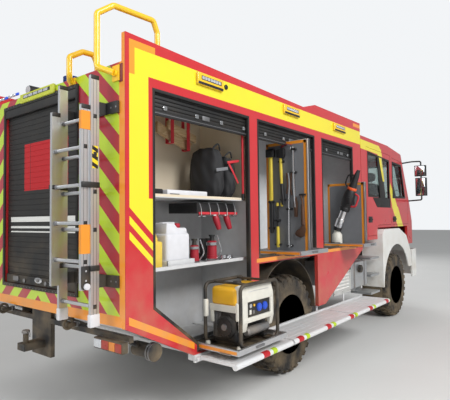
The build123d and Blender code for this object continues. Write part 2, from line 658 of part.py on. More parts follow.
# Goods on the shelves of the first locker
# Boxes: low corner and high corner, x from the locker's front, y from its rear edge, z from the shelf; which shelf
goods_boxes = (
    ((-445, 30, 5), (-75, 350, 120), 1),
    ((-505, 630, 5), (-85, 1230, 330), 1),
    ((-405, 60, 5), (-205, 290, 350), 0),
    ((-165, 90, 5), (-75, 250, 250), 0),
)
can_ys = (490.0, 630.0, 770.0, 910.0, 1050.0)
with BuildPart() as locker_goods:
    for low, high, shelf in goods_boxes:
        base = (skin_inner_x, rear_post, shelf_zs[shelf])
        block([a + b for a, b in zip(base, low)], [a + b for a, b in zip(base, high)])
    for y in can_ys:
        post(skin_inner_x - 245, rear_post + y, shelf_zs[0] + 5, shelf_zs[0] + 250, 38)
        post(skin_inner_x - 245, rear_post + y, shelf_zs[0] + 249, shelf_zs[0] + 330, 22)
finish(locker_goods, "locker_goods")

# Sill rails along the body's lower edge carry the fold-down steps on long pins
sill_x0 = half_body - 12.0
sill_x1 = half_body + 10.0
sill_low_z = 545.0
sill_high_z = body_bottom_z - 1
hinge_x = half_body + 34
hinge_z = 585.0
hinge_pin_radius = 8.0
hinge_barrel_radius = 14.0
hinge_bore_radius = 8.6
# Steps: name, rear y, front y, whether it folds
step_rows = (
    ("rear", departure_length + 25, pillar_1[0] + 45),
    ("middle", pillar_1[0] + 75, pillar_2[0] + 90),
    ("front", pillar_2[0] + 120, front_pillar_y + 140),
)
step_outer_x = half_body + 450
step_plate_x = half_body + 60
step_top_z = 605.0
step_thickness = 26.0
step_edge_radius = 26.0
step_end_gap = 8.0
plank_count = 5
plank_groove = 6.0


def step_board(direction, y0, y1, folds=True):
    """One step: grooved planks, hinge barrel, bored where it folds, and a round outer edge."""
    x0, x1 = sorted((direction * step_plate_x, direction * (step_outer_x - step_edge_radius)))
    block((x0, y0, step_top_z - step_thickness), (x1, y1, step_top_z))
    pitch = (x1 - x0) / plank_count
    for i in range(1, plank_count):
        x = x0 + i * pitch
        block((x - plank_groove / 2, y0 - 1, step_top_z - 5), (x + plank_groove / 2, y1 + 1, step_top_z + 1), mode=Mode.SUBTRACT)
    bar(direction * (step_outer_x - step_edge_radius), step_top_z - step_thickness, y0, y1, step_edge_radius)
    bar(direction * hinge_x, hinge_z, y0, y1, hinge_barrel_radius)
    x0, x1 = sorted((direction * hinge_x, direction * (step_plate_x + 5)))
    block((x0, y0, hinge_z - 6), (x1, y1, hinge_z + 8))
    if folds:
        bar(direction * hinge_x, hinge_z, y0 - 1, y1 + 1, hinge_bore_radius, mode=Mode.SUBTRACT)


with BuildPart() as sill_rails:
    for direction in (1, -1):
        x0, x1 = sorted((direction * sill_x0, direction * sill_x1))
        block((x0, step_rows[0][1] - 20, sill_low_z), (x1, step_rows[2][2] + 20, sill_high_z))
        bar(direction * hinge_x, hinge_z, step_rows[0][1] - 20, step_rows[2][2] + 20, hinge_pin_radius)
        for row in step_rows:
            for y0, y1 in ((row[1] - 15, row[1] - step_end_gap), (row[2] + step_end_gap, row[2] + 15)):
                a, b = sorted((direction * (sill_x1 - 1), direction * (hinge_x + 14)))
                block((a, y0, hinge_z - 16), (b, y1, hinge_z + 14))
        # Hangers: rear edge, top height, from the floor pan or the inside of the body side
        for y, top_z, depth in ((departure_length + 40, body_bottom_z + 2, 60), (pillar_1[0] + 10, body_bottom_z + 2, 60),
                                (pillar_2[0] + 40, 760, 12), (front_pillar_y - 360, 700, 12)):
            a, b = sorted((direction * (skin_inner_x - depth), direction * skin_inner_x))
            block((a, y, sill_low_z), (b, y + 40, top_z))
            a, b = sorted((direction * (skin_inner_x - 1), direction * (sill_x0 + 1)))
            block((a, y, sill_low_z), (b, y + 40, sill_low_z + 30))
    step_board(1, step_rows[0][1], step_rows[0][2], folds=False)
finish(sill_rails, "sill_rails")

for tag, direction in (("right", 1), ("left", -1)):
    for row, y0, y1 in step_rows:
        if (tag, row) != ("right", "rear"):
            with BuildPart() as step:
                step_board(direction, y0, y1)
            finish(step, f"step_{tag}_{row}")

# Wheels: tyre, rim, and the front knuckles with their spindles
half_tyre = tyre_width / 2
# Half section of a tyre: distance along the axle from the wheel's middle, radius
tyre_profile = [(-half_tyre + 45, rim_radius), (-half_tyre, rim_radius + 90), (-half_tyre, tyre_radius - 75),
                (-half_tyre + 40, tyre_radius), (half_tyre - 40, tyre_radius), (half_tyre, tyre_radius - 75),
                (half_tyre, rim_radius + 90), (half_tyre - 45, rim_radius)]
disc_x = 110.0

for tag, direction in (("right", 1), ("left", -1)):
    for end, y in (("front", front_axle_y), ("rear", rear_axle_y)):
        centre = (direction * wheel_x, rear_y + y, tyre_radius)
        wheel_plane = Plane(origin=centre, x_dir=(direction, 0, 0), z_dir=(0, 1, 0))
        with BuildPart() as tyre:
            with BuildSketch(wheel_plane) as section:
                Polygon(*tyre_profile, align=None)
            revolve(section.sketch, axis=Axis(centre, (1, 0, 0)))
        finish(tyre, f"tyre_{end}_{tag}")
        with BuildPart() as rim:
            with BuildSketch(wheel_plane) as section:
                with BuildLine():
                    Polyline((-140, rim_radius - seat_gap), (150, rim_radius - seat_gap), (150, rim_radius - 16), (70, rim_radius - 30), (60, 215), (disc_x - 60, 170),
                             (disc_x - 20, 140), (disc_x - 20, spindle_radius + spindle_clearance), (-80, spindle_radius + spindle_clearance),
                             (-80, 120), (30, 140), (38, 215), (30, rim_radius - 30), (-140, rim_radius - 16), close=True)
                make_face()
            revolve(section.sketch, axis=Axis(centre, (1, 0, 0)))
        finish(rim, f"rim_{end}_{tag}")
    with BuildPart() as knuckle:
        x = direction * kingpin_x
        x0, x1 = sorted((x - direction * 45, x + direction * 42))
        block((x0, front_axle_y - 60, tyre_radius - 95), (x1, front_axle_y + 60, tyre_radius + 95))
        rod(x + direction * 40, direction * (wheel_x + disc_x + 10), front_axle_y, tyre_radius, spindle_radius)
        a, b = sorted((x - direction * 20, x + direction * 20))
        block((a, front_axle_y - 240, tyre_radius - 70), (b, front_axle_y - 55, tyre_radius - 40))
        for z0, z1 in ((tyre_radius - 96, tyre_radius - 59), (tyre_radius + 59, tyre_radius + 96)):
            post(x, front_axle_y, z0, z1, kingpin_radius + kingpin_clearance, mode=Mode.SUBTRACT)
    finish(knuckle, f"knuckle_{tag}")

# Cab: one closed form, offset inwards for its walls and its glass
nose_rear_y = front_axle_y + 850
nose_low_z = 1250.0
cab_profile = [
    (cab_rear_y, cab_bottom_z), (cab_rear_y, 3080), (front_axle_y - 200, 3062), (front_axle_y + 730, 2960),
    (cab_front_y - 520, 2850), (cab_front_y - 160, 2140), (cab_front_y, 1720), (cab_front_y, nose_low_z),
    (nose_rear_y, nose_low_z), (nose_rear_y, cab_bottom_z),
]
floor_top = cab_bottom_z + cab_wall
arch_top_z = 1602.0
arch_rear_y = front_axle_y - 800
arch_inner_x = half_cab - 340
arch_plate = 25.0
tunnel_half = 430.0
tunnel_rear_y = engine_rear_y - 220
tunnel_top_z = 1740.0
tunnel_front_y = engine_front_y + 60
tunnel_wall = 25.0
cab_lug_x = 400.0
glass_set_in = 14.0
glass_thickness = 6.0
glass_gap = 0.3


def cab_form(inset):
    """Closed cab volume, every face moved inwards by the inset."""
    with BuildPart() as form:
        with BuildSketch(side(-half_cab + inset)) as profile:
            Polygon(*cab_profile, align=None)
            if inset:
                offset(amount=-inset, kind=Kind.INTERSECTION, mode=Mode.REPLACE)
        extrude(profile.sketch, amount=2 * (half_cab - inset))
        corners = form.edges().filter_by(lambda e: e.length > 200 and abs((e @ 0).X - (e @ 1).X) < 1
                                         and min((e @ 0).Y, (e @ 1).Y) > rear_y + cab_front_y - 710 - inset
                                         and abs((e @ 0).Z - (e @ 1).Z) > 150)
        fillet(corners, cab_corner_radius - inset)
    return form.part


# Doors in side view: name, outline, window outline
crew_front_y = front_axle_y - 85
front_rear_y = front_axle_y - 20
front_front_y = cab_front_y - 450
door_rows = (
    ("crew",
     [(cab_rear_y + 225, 1470), (front_axle_y - 850, 1470), (front_axle_y - 750, 1640), (crew_front_y, 1640),
      (crew_front_y, 2900), (cab_rear_y + 225, 2925)],
     [(cab_rear_y + 285, 2125), (front_axle_y - 710, 2125), (front_axle_y - 650, 1965), (crew_front_y - 55, 1965),
      (crew_front_y - 55, 2790), (cab_rear_y + 285, 2845)]),
    ("front",
     [(front_rear_y, 1640), (front_front_y, 1640), (front_front_y, 2140), (front_front_y - 265, 2830),
      (front_rear_y, 2870)],
     [(front_rear_y + 55, 2135), (front_front_y - 160, 2150), (front_front_y - 370, 2765), (front_rear_y + 55, 2785)]),
)
# Door hinges: pins held by the cab in lugs above and below each knuckle
hinge_axes = {"crew": crew_front_y - 3, "front": front_front_y - 3}
hinge_heights = {"crew": (1760.0, 2560.0), "front": (1760.0, 2060.0)}
door_hinge_x = half_cab - 6.0
door_pin_radius = 5.0
door_knuckle_radius = 10.0
door_knuckle_half = 45.0
door_lug_length = 25.0
# Channel in the cab's pillar for the door's front edge to swing in: its heights and radius
door_edge_heights = {"crew": (1640.0, 2900.0), "front": (1640.0, 2165.0)}
door_edge_radius = 8.0
windscreen_half = half_cab - 215
windscreen_low_z = 2185.0
windscreen_top_z = 2820.0


def prism(points, x0, x1, grow=0.0):
    """Closed prism with a side outline between two x values, grown by an offset."""
    with BuildPart() as shape:
        with BuildSketch(side(min(x0, x1))) as outline:
            Polygon(*points, align=None)
            if grow:
                offset(amount=grow, kind=Kind.INTERSECTION, mode=Mode.REPLACE)
        extrude(outline.sketch, amount=abs(x1 - x0))
    return shape.part


def hinge_cuts(direction, name, low, high, radius):
    """Round cuts on the hinge line between two distances either side of each hinge's middle."""
    for z in hinge_heights[name]:
        for sign in (1, -1):
            z0, z1 = sorted((z + sign * low, z + sign * high))
            post(direction * door_hinge_x, hinge_axes[name], z0, z1, radius, mode=Mode.SUBTRACT)


def windscreen_prism(grow=0.0):
    with BuildPart() as shape:
        with BuildSketch(across(cab_front_y - 760)) as outline:
            with Locations((0, (windscreen_low_z + windscreen_top_z) / 2)):
                RectangleRounded(2 * windscreen_half + 2 * grow, windscreen_top_z - windscreen_low_z + 2 * grow, 60)
        extrude(outline.sketch, amount=-1000)
    return shape.part


cab_outer = cab_form(0.0)
cab_inner = cab_form(cab_wall)
cab_skin = cab_outer - cab_inner
glass_layer = cab_form(glass_set_in) - cab_form(glass_set_in + glass_thickness)
door_depth_x = half_cab - 120
with BuildPart() as cab_shell:
    add(cab_skin)
    for direction in (1, -1):
        # Arch over the wheel and mudguard, then its own ceiling
        x0, x1 = sorted((direction * arch_inner_x, direction * (half_cab + 10)))
        block((x0, arch_rear_y, cab_bottom_z - 10), (x1, nose_rear_y - 5, arch_top_z), mode=Mode.SUBTRACT)
        x0, x1 = sorted((direction * (arch_inner_x - arch_plate), direction * (half_cab - cab_wall)))
        block((x0, arch_rear_y - arch_plate, arch_top_z), (x1, nose_rear_y + 20, arch_top_z + arch_plate))
        block((x0, arch_rear_y - arch_plate, cab_bottom_z), (x1, arch_rear_y, arch_top_z + arch_plate))
        x0, x1 = sorted((direction * (arch_inner_x - arch_plate), direction * arch_inner_x))
        block((x0, arch_rear_y - arch_plate, cab_bottom_z), (x1, nose_rear_y + 20, arch_top_z + arch_plate))
        for name, outline, window in door_rows:
            add(prism(outline, direction * door_depth_x, direction * (half_cab + 20)), mode=Mode.SUBTRACT)
            post(direction * door_hinge_x, hinge_axes[name], *door_edge_heights[name], door_edge_radius,
                 mode=Mode.SUBTRACT)
            hinge_cuts(direction, name, 0, door_knuckle_half + 0.5, door_knuckle_radius + 1)
            for z in hinge_heights[name]:
                reach = door_knuckle_half + door_lug_length
                post(direction * door_hinge_x, hinge_axes[name], z - reach, z + reach, door_pin_radius)
                for z0 in (z - reach, z + door_knuckle_half + 1):
                    post(direction * door_hinge_x, hinge_axes[name], z0, z0 + door_lug_length - 1, door_knuckle_radius)
    add(windscreen_prism(), mode=Mode.SUBTRACT)
    # Behind the front panel the cab is open below, with the floor running on to the panel
    nose_half = half_cab - cab_wall
    block((-nose_half, nose_rear_y - 10, nose_low_z - 10), (nose_half, cab_front_y - cab_wall, cab_bottom_z), mode=Mode.SUBTRACT)
    block((-nose_half + 60, nose_rear_y - 10, cab_bottom_z), (nose_half - 60, cab_front_y - cab_wall - 2, floor_top))
    # Engine tunnel
    block((-tunnel_half, tunnel_rear_y, cab_bottom_z), (tunnel_half, tunnel_front_y, tunnel_top_z))
    block((-tunnel_half + tunnel_wall, tunnel_rear_y + tunnel_wall, cab_bottom_z - 10),
          (tunnel_half - tunnel_wall, tunnel_front_y - tunnel_wall, tunnel_top_z - tunnel_wall), mode=Mode.SUBTRACT)
    # Lugs round the tilt pin
    for direction in (1, -1):
        x0, x1 = sorted((direction * cab_lug_x, direction * (cab_lug_x + 24)))
        block((x0, cab_pivot_y - 34, cab_pivot_z - 34), (x1, cab_pivot_y + 34, cab_bottom_z + 5))
        rod(x0 - 1, x1 + 1, cab_pivot_y, cab_pivot_z, pivot_pin_radius + 0.6, mode=Mode.SUBTRACT)
finish(cab_shell, "cab_shell")

with BuildPart() as cab_glass:
    add(glass_layer & windscreen_prism(-glass_gap))
finish(cab_glass, "cab_glass")

# Four doors cut from the cab's own walls, each with its pane
for tag, direction in (("right", 1), ("left", -1)):
    for name, outline, window in door_rows:
        reach = (direction * door_depth_x, direction * (half_cab + 20))
        with BuildPart() as door:
            add(cab_skin & prism(outline, *reach, grow=-door_gap))
            add(prism(window, *reach), mode=Mode.SUBTRACT)
            for z in hinge_heights[name]:
                post(direction * door_hinge_x, hinge_axes[name], z - door_knuckle_half, z + door_knuckle_half,
                     door_knuckle_radius)
            hinge_cuts(direction, name, 0, door_knuckle_half + 0.1, door_pin_radius + 0.5)
            hinge_cuts(direction, name, door_knuckle_half, door_knuckle_half + door_lug_length + 1,
                       door_knuckle_radius + 1)
        finish(door, f"door_{name}_{tag}")
        with BuildPart() as pane:
            add(glass_layer & prism(window, *reach, grow=-glass_gap))
        finish(pane, f"door_glass_{name}_{tag}")

# Inside the cab: seats, rear bench, dashboard and steering wheel
seat_low_z = arch_top_z + arch_plate
seat_x = half_cab - 440
bench_half = half_cab - 120
dash_half = half_cab - 160
dash_rear_y = cab_front_y - 435
wheel_y = cab_front_y - 650
with BuildPart() as cab_interior:
    for x in (-seat_x, seat_x):
        block((x - 240, front_axle_y, seat_low_z), (x + 240, front_axle_y + 450, seat_low_z + 280))
        block((x - 240, front_axle_y - 70, seat_low_z + 280), (x + 240, front_axle_y + 50, 2620))
    block((-bench_half, cab_rear_y + 150, floor_top), (bench_half, arch_rear_y - 60, floor_top + 420))
    block((-bench_half, cab_rear_y + 60, floor_top + 420), (bench_half, cab_rear_y + 180, 2560))
    block((-half_cab + cab_wall, dash_rear_y, 1760), (half_cab - cab_wall, dash_rear_y + 65, 2060))
    block((-dash_half, dash_rear_y + 60, 1760), (dash_half, cab_front_y - 230, 2060))
    limb((-seat_x, dash_rear_y + 15, 1930), (-seat_x, wheel_y - 2, 2063), 30)
    with BuildSketch(Plane(origin=(-seat_x, rear_y + wheel_y, 2062), z_dir=(0, -1, 0.6))) as wheel_section:
        Circle(225)
        Circle(195, mode=Mode.SUBTRACT)
        Rectangle(400, 40)
        Circle(60)
    extrude(wheel_section.sketch, amount=24)
finish(cab_interior, "cab_interior")

# Mirrors on two arms, and the light bar on the roof
mirror_y = cab_front_y - 350
mirror_x = half_cab + 245
with BuildPart() as mirrors:
    for direction in (1, -1):
        # Each arm runs into the cab's side and is cut to its surface
        arm = [(half_cab - 60, cab_front_y - 610, 2830), (half_cab + 90, mirror_y - 60, 2872), (mirror_x, mirror_y, 2872),
               (mirror_x, mirror_y, 2110), (half_cab - 30, mirror_y - 10, 2095)]
        bent_tube([(direction * x, y, z) for x, y, z in arm], 30, 14)
        for inner, outer, z0, z1 in ((-115, 90, 2580, 2790), (-105, 95, 2190, 2545)):
            a, b = sorted((direction * (mirror_x + inner), direction * (mirror_x + outer)))
            block((a, mirror_y - 30, z0), (b, mirror_y + 50, z1))
    add(cab_outer, mode=Mode.SUBTRACT)
finish(mirrors, "mirrors")

light_bar_y = front_axle_y - 300
light_foot_z = 3064.5
with BuildPart() as light_bar:
    with BuildSketch(level(3085)) as bar_outline:
        with Locations((0, light_bar_y)):
            RectangleRounded(1500, 300, 120)
    extrude(bar_outline.sketch, amount=110)
    for x in (-450, 450):
        block((x - 60, light_bar_y - 70, light_foot_z), (x + 60, light_bar_y + 70, 3090))
finish(light_bar, "light_bar")

# Lamps: head lamps, tail lamps, and the flush scene lamps along the yellow band
scene_lamp_rows = (
    (rear_post + 520, rear_post + 880), (pillar_1[1] + 530, pillar_1[1] + 880), (pillar_2[1] + 370, pillar_2[1] + 730),
)
tail_lamp_x = half_body - 190
with BuildPart() as lamps:
    for x in (-lamp_centre_x, lamp_centre_x):
        block((x - lamp_width / 2 + 6, bumper_front_y - 90, lamp_z - lamp_height / 2 + 6),
              (x + lamp_width / 2 - 6, bumper_front_y - 8, lamp_z + lamp_height / 2 - 6))
        # Flange against the inside of the bumper skin, on its flat stretch
        flat_x = copysign(bumper_half - bumper_corner, x)
        x0, x1 = sorted((flat_x, x - copysign(lamp_width / 2 + 15, x)))
        block((x0, bumper_front_y - 90, lamp_z - lamp_height / 2 - 15),
              (x1, bumper_front_y - bumper_skin, lamp_z + lamp_height / 2 + 15))
    for y0, y1 in scene_lamp_rows:
        for direction in (1, -1):
            x0, x1 = sorted((direction * half_body, direction * (half_body + 26)))
            block((x0, y0, 2985), (x1, y1, 3085))
    for x in (-tail_lamp_x, tail_lamp_x):
        block((x - 170, -20, 790), (x + 170, 40, 870))
finish(lamps, "lamps")

# Tanks, boxes and cab steps hung on the frame
tank_outer_x = half_body - 60
step_back_x = half_body - 380
cab_step_y = cab_rear_y + 260
with BuildPart() as side_tanks:
    block((rail_outer_x, front_pillar_y - 35, 720), (tank_outer_x, cab_rear_y + 150, 1095))
    block((-tank_outer_x, front_pillar_y - 640, 700), (-rail_outer_x, cab_rear_y + 150, 1095))
    for direction in (1, -1):
        x0, x1 = sorted((direction * (step_back_x + 10), direction * (half_body - 35)))
        for z in (535, 820, 1095):
            block((x0, cab_step_y, z), (x1, cab_step_y + 390, z + 30))
        a, b = sorted((direction * rail_outer_x, direction * (step_back_x + 10)))
        block((a, cab_step_y + 30, 900), (b, cab_step_y + 360, 940))
        a, b = sorted((direction * step_back_x, direction * (step_back_x + 20)))
        block((a, cab_step_y, 535), (b, cab_step_y + 390, 1125))
    block((skin_inner_x - 10, pillar_2[1] + 370, 700), (skin_inner_x, front_pillar_y - 70, 1010))
finish(side_tanks, "side_tanks")

# Rear towing gear: post, hook plate, lamp bar, shackles and the round hose coupling
tow_post_y = 40.0
tow_pin_y = tow_post_y - 145
bar_end_x = half_body - 10
with BuildPart() as tow_hitch:
    block((-160, tow_post_y, 560), (160, tow_post_y + 40, departure_z))
    block((-bar_end_x, 40, 860), (bar_end_x, 80, 905))
    limb((half_body - 170, 62, 880), (half_body - 170, 285, 760), 20)
    block((-60, tow_pin_y - 45, 640), (60, tow_post_y + 2, 700))
    post(0, tow_pin_y, 699, 780, 24)
    for x in (-560, 560):
        with Locations(Location((x, rear_y - 40, 930), (0, 90, 0))):
            Torus(40, 12)
        block((x - 14, -50, 900), (x + 14, 60, 930))
    rod(half_body - 240, half_body - 60, 300, 735, 58)
    rod(half_body - 61, half_body - 10, 300, 735, 72)
finish(tow_hitch, "tow_hitch")
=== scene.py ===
# %% [markdown]
# # A crew-cab rescue fire truck
# The truck stands as it parks, with three lockers open, three trays pulled out and its side steps folded
# down. Its solids come packed from the CAD model, in metres, in one shared frame: x is the truck's right, y
# points forwards and z up. This file gives those solids their finishes and adds the pieces that are too
# fine for them.

# %% Load the frame
import bmesh
import bpy
from math import cos, pi, radians, sin
from mathutils import Matrix, Vector


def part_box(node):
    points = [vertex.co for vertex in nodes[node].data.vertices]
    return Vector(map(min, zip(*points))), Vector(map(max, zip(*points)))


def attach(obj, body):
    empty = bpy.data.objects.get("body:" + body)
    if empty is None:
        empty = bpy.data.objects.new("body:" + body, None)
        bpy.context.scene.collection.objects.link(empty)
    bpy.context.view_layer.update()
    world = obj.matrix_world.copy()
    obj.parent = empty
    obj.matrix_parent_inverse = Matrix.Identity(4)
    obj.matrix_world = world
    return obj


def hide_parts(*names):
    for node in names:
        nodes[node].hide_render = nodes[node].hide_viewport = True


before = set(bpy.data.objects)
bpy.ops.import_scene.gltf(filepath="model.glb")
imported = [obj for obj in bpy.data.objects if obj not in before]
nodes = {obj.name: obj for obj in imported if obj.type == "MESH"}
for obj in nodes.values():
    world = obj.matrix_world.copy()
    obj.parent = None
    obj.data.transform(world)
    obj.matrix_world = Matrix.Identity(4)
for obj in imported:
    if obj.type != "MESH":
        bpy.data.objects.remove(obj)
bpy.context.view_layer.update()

# %% [markdown]
# ## The camera
# The photograph was taken from behind the truck's right rear corner, at eye height. A camera's matrix has
# its own right, up and backward directions as columns. They were fitted to the body's straight edges, and
# then rolled by the fitted tilt. Lengths along the truck are easier to read from its rear face, so rear_y
# turns them into the frame.

# %% Set the camera
rear_y = -3.68
camera_place = Vector((3.887, -2.122 + rear_y, 1.77))
camera_turn = radians(38.58)
camera_pitch = radians(2.5)
camera_roll = radians(-0.69)


def camera_axes():
    """Right, up and forward directions of the fitted camera."""
    forward = Vector((-sin(camera_turn) * cos(camera_pitch), cos(camera_turn) * cos(camera_pitch),
                      sin(camera_pitch)))
    level_right = Vector((cos(camera_turn), sin(camera_turn), 0))
    level_up = level_right.cross(forward)
    right = level_right * cos(camera_roll) + level_up * sin(camera_roll)
    up = level_up * cos(camera_roll) - level_right * sin(camera_roll)
    return right, up, forward


right, up, forward = camera_axes()
lens = bpy.data.cameras.new("camera")
lens.lens = 35.654
lens.sensor_width = 36
camera = bpy.data.objects.new("camera", lens)
turn = Matrix((right, up, -forward)).transposed()
camera.matrix_world = Matrix.Translation(camera_place) @ turn.to_4x4()
bpy.context.collection.objects.link(camera)
bpy.context.scene.camera = camera
print("camera at", tuple(round(v, 2) for v in camera_place), "lens", round(lens.lens, 1), "mm")

# %% [markdown]
# ## Light and floor
# A large pale floor takes the shadow. The world is a soft sky that the camera sees as plain near-white, and
# one wide lamp stands for the sun that lit the right side. Area lamps with a large size give the soft edge
# of a studio.

# %% Build the studio
def lamp(name, place, aim, size, power):
    """A square area lamp that looks at a point."""
    data = bpy.data.lights.new(name, "AREA")
    data.size = size
    data.energy = power
    made = bpy.data.objects.new(name, data)
    direction = Vector(aim) - Vector(place)
    made.matrix_world = Matrix.Translation(place) @ direction.to_track_quat("-Z", "Y").to_matrix().to_4x4()
    bpy.context.collection.objects.link(made)
    return made


lamp("key_lamp", (11.5, -4.0, 8.5), (0.9, -0.8, 1.4), 5.0, 1450)
lamp("rear_lamp", (-2.0, -13.0, 6.0), (0.0, -2.0, 1.6), 7.0, 560)
lamp("front_lamp", (-7.0, 11.0, 7.0), (0, 1, 1.5), 7.0, 560)
world = bpy.data.worlds.new("studio_sky")
bpy.context.scene.world = world
world.use_nodes = True
sky = world.node_tree
sky_shader = sky.nodes["Background"]
seen = sky.nodes.new("ShaderNodeLightPath")
any_view = sky.nodes.new("ShaderNodeMath")
any_view.operation = "MAXIMUM"
sky.links.new(seen.outputs["Is Camera Ray"], any_view.inputs[0])
sky.links.new(seen.outputs["Is Transmission Ray"], any_view.inputs[1])
sky_strength = sky.nodes.new("ShaderNodeMapRange")
sky_strength.inputs["To Min"].default_value = 0.42
sky_strength.inputs["To Max"].default_value = 0.93
sky.links.new(any_view.outputs[0], sky_strength.inputs["Value"])
sky.links.new(sky_strength.outputs[0], sky_shader.inputs["Strength"])
sky_shader.inputs["Color"].default_value = (0.96, 0.98, 1.0, 1.0)
bpy.context.scene.view_settings.view_transform = "Standard"

floor_mesh = bpy.data.meshes.new("studio_floor")
floor_half = 60.0
floor_mesh.from_pydata([(-floor_half, -floor_half, 0), (floor_half, -floor_half, 0),
                        (floor_half, floor_half, 0), (-floor_half, floor_half, 0)], [], [(0, 1, 2, 3)])
studio_floor = bpy.data.objects.new("studio_floor", floor_mesh)
bpy.context.collection.objects.link(studio_floor)
print("studio: 3 lamps, sky and floor")

# %% [markdown]
# ## Shader sums in plain Python
# Livery is mostly geometry: stripes are bands of a height or of a slanted sum of height and length. A small
# class wraps a socket so that such sums read as arithmetic, and each sign adds one Math node. A finish owns
# one material. Everything that isn't arithmetic goes through its node method.

# %% Wrap sockets and materials
class Field:
    """One output socket of a finish. Arithmetic on it adds Math nodes."""

    def __init__(self, finish, socket):
        self.finish = finish
        self.socket = socket

    def math(self, operation, *values):
        return self.finish.node("ShaderNodeMath", {"operation": operation}, dict(enumerate(values)))


operators = {"add": "ADD", "sub": "SUBTRACT", "mul": "MULTIPLY", "gt": "GREATER_THAN", "lt": "LESS_THAN",
             "mod": "FLOORED_MODULO", "or": "MAXIMUM", "abs": "ABSOLUTE"}
for sign, operation in operators.items():
    def apply(self, *others, operation=operation):
        return self.math(operation, self, *others)

    setattr(Field, f"__{sign}__", apply)
for sign in ("add", "sub", "mul"):
    def apply_reversed(self, other, operation=operators[sign]):
        return self.math(operation, other, self)

    setattr(Field, f"__r{sign}__", apply_reversed)


class Finish:
    """One material round one Principled shader."""

    def __init__(self, name, **constants):
        self.material = bpy.data.materials.new(name)
        self.material.use_nodes = True
        self.tree = self.material.node_tree
        self.shader = self.tree.nodes["Principled BSDF"]
        for socket, value in constants.items():
            self.shader.inputs[socket.replace("_", " ").title().replace("Ior", "IOR")].default_value = value

    def node(self, kind, settings=None, inputs=None, output=0):
        made = self.tree.nodes.new(kind)
        for key, value in (settings or {}).items():
            setattr(made, key, value)
        for key, value in (inputs or {}).items():
            self.join(value, made.inputs[key])
        return Field(self, made.outputs[output])

    def join(self, value, socket):
        if isinstance(value, Field):
            self.tree.links.new(value.socket, socket)
        else:
            socket.default_value = value

    def vary(self, socket, value):
        self.join(value, self.shader.inputs[socket])

    def mix(self, mask, low, high):
        return self.node("ShaderNodeMix", {"data_type": "RGBA"}, {0: mask, 6: low, 7: high}, output=2)

    def over(self, mask, colour):
        """Lays a second colour over what shows so far."""
        below = Field(self, self.shader.inputs["Base Color"].links[0].from_socket)
        self.vary("Base Color", self.mix(mask, below, colour))

    def rest_place(self):
        return self.node("ShaderNodeTexCoord", output="Object")

    def axes(self):
        """x, y from the body's rear face, and z, at rest, in metres."""
        place = self.rest_place()
        parts = [self.node("ShaderNodeSeparateXYZ", inputs={0: place}, output=axis) for axis in "XYZ"]
        return parts[0], parts[1] - rear_y, parts[2]

    def noise(self, scale, detail=3.0, stretch=None):
        place = self.rest_place()
        if stretch:
            place = self.node("ShaderNodeVectorMath", {"operation": "MULTIPLY"}, {0: place, 1: stretch})
        return self.node("ShaderNodeTexNoise", inputs={"Vector": place, "Scale": scale, "Detail": detail},
                         output="Fac")

    def ramp(self, value, low, high, out_low=0.0, out_high=1.0):
        return self.node("ShaderNodeMapRange", {"clamp": True},
                         {"Value": value, "From Min": low, "From Max": high, "To Min": out_low,
                          "To Max": out_high})

    def relief(self, height, distance, strength=1.0):
        settings = {"Height": height, "Distance": distance, "Strength": strength}
        self.vary("Normal", self.node("ShaderNodeBump", inputs=settings))


def rgb(red, green, blue):
    """A screen colour, 0 to 255, as the linear colour that a socket takes."""
    linear = [((v / 255 + 0.055) / 1.055) ** 2.4 if v > 10 else v / 255 / 12.92 for v in (red, green, blue)]
    return (*linear, 1.0)


print("shader classes ready")

# %% [markdown]
# ## Colours of the truck
# Each colour was read from the photograph and set a little cleaner than there, because the studio has no
# warm sun.

# %% Name the colours
red = rgb(196, 34, 42)
yellow = rgb(236, 220, 40)
lime = rgb(190, 218, 46)
amber = rgb(240, 150, 40)
# Red of the rear chevrons: its crimson tone is the paint's own, and it is set darker than that paint as
# painted shade of the rear face.
rear_red_with_painted_shade = rgb(176, 32, 52)
white = rgb(236, 236, 232)
dust = rgb(168, 146, 112)
locker_grey = rgb(214, 215, 216)
print("colours named")

# %% [markdown]
# ## Paint, tape and dust
# The truck is painted steel with reflective tape on it. Paint has a slight orange peel, tape has a finer
# grain, and dust gathers low down and in soft clouds. One function does the dust for every painted finish,
# so that it runs on over neighbouring pieces without a break.

# %% Paint and dust helpers
def dusty(finish, colour, z, amount=1.0):
    """Lays road dust over a colour, thick near the ground, and returns the colour and the dust mask."""
    low = finish.ramp(z, 0.45, 1.7, 0.55, 0.03)
    cloud = finish.ramp(finish.noise(5.5, 7.0), 0.38, 0.72)
    mask = low * cloud * amount
    return finish.mix(mask, colour, dust), mask


def paint(finish, colour, z, gloss=0.24, amount=1.0):
    """Glossy coach paint with orange peel and dust."""
    shown, mask = dusty(finish, colour, z, amount)
    finish.vary("Base Color", shown)
    finish.vary("Roughness", gloss + 0.5 * mask + 0.1 * finish.noise(2.2, 3.0))
    finish.vary("Coat Weight", 0.7 - 0.7 * mask)
    finish.relief(finish.noise(420.0, 1.0), 0.0004, 0.35)


def band(value, low, high):
    """1 where a value lies between two others."""
    return (value > low) * (value < high)


def within(y, z, corners):
    """1 inside a convex outline in the side view, whose corners run anticlockwise."""
    inside = None
    for (y0, z0), (y1, z1) in zip(corners, corners[1:] + corners[:1]):
        length = ((y1 - y0) ** 2 + (z1 - z0) ** 2) ** 0.5
        across_edge = ((y1 - y0) * (z - z0) - (z1 - z0) * (y - y0)) * (1 / length) > 0
        inside = across_edge if inside is None else inside * across_edge
    return inside


print("paint helpers ready")

# %% [markdown]
# ## Body livery
# The side carries a yellow band under the roof, a yellow rear pillar that ends in slanted stripes, and
# amber tape along the edges. The rear carries chevrons of lime and red inside an amber border. All of it is
# measured from the photograph in lengths from the rear face and heights, so the same finish serves both
# sides.

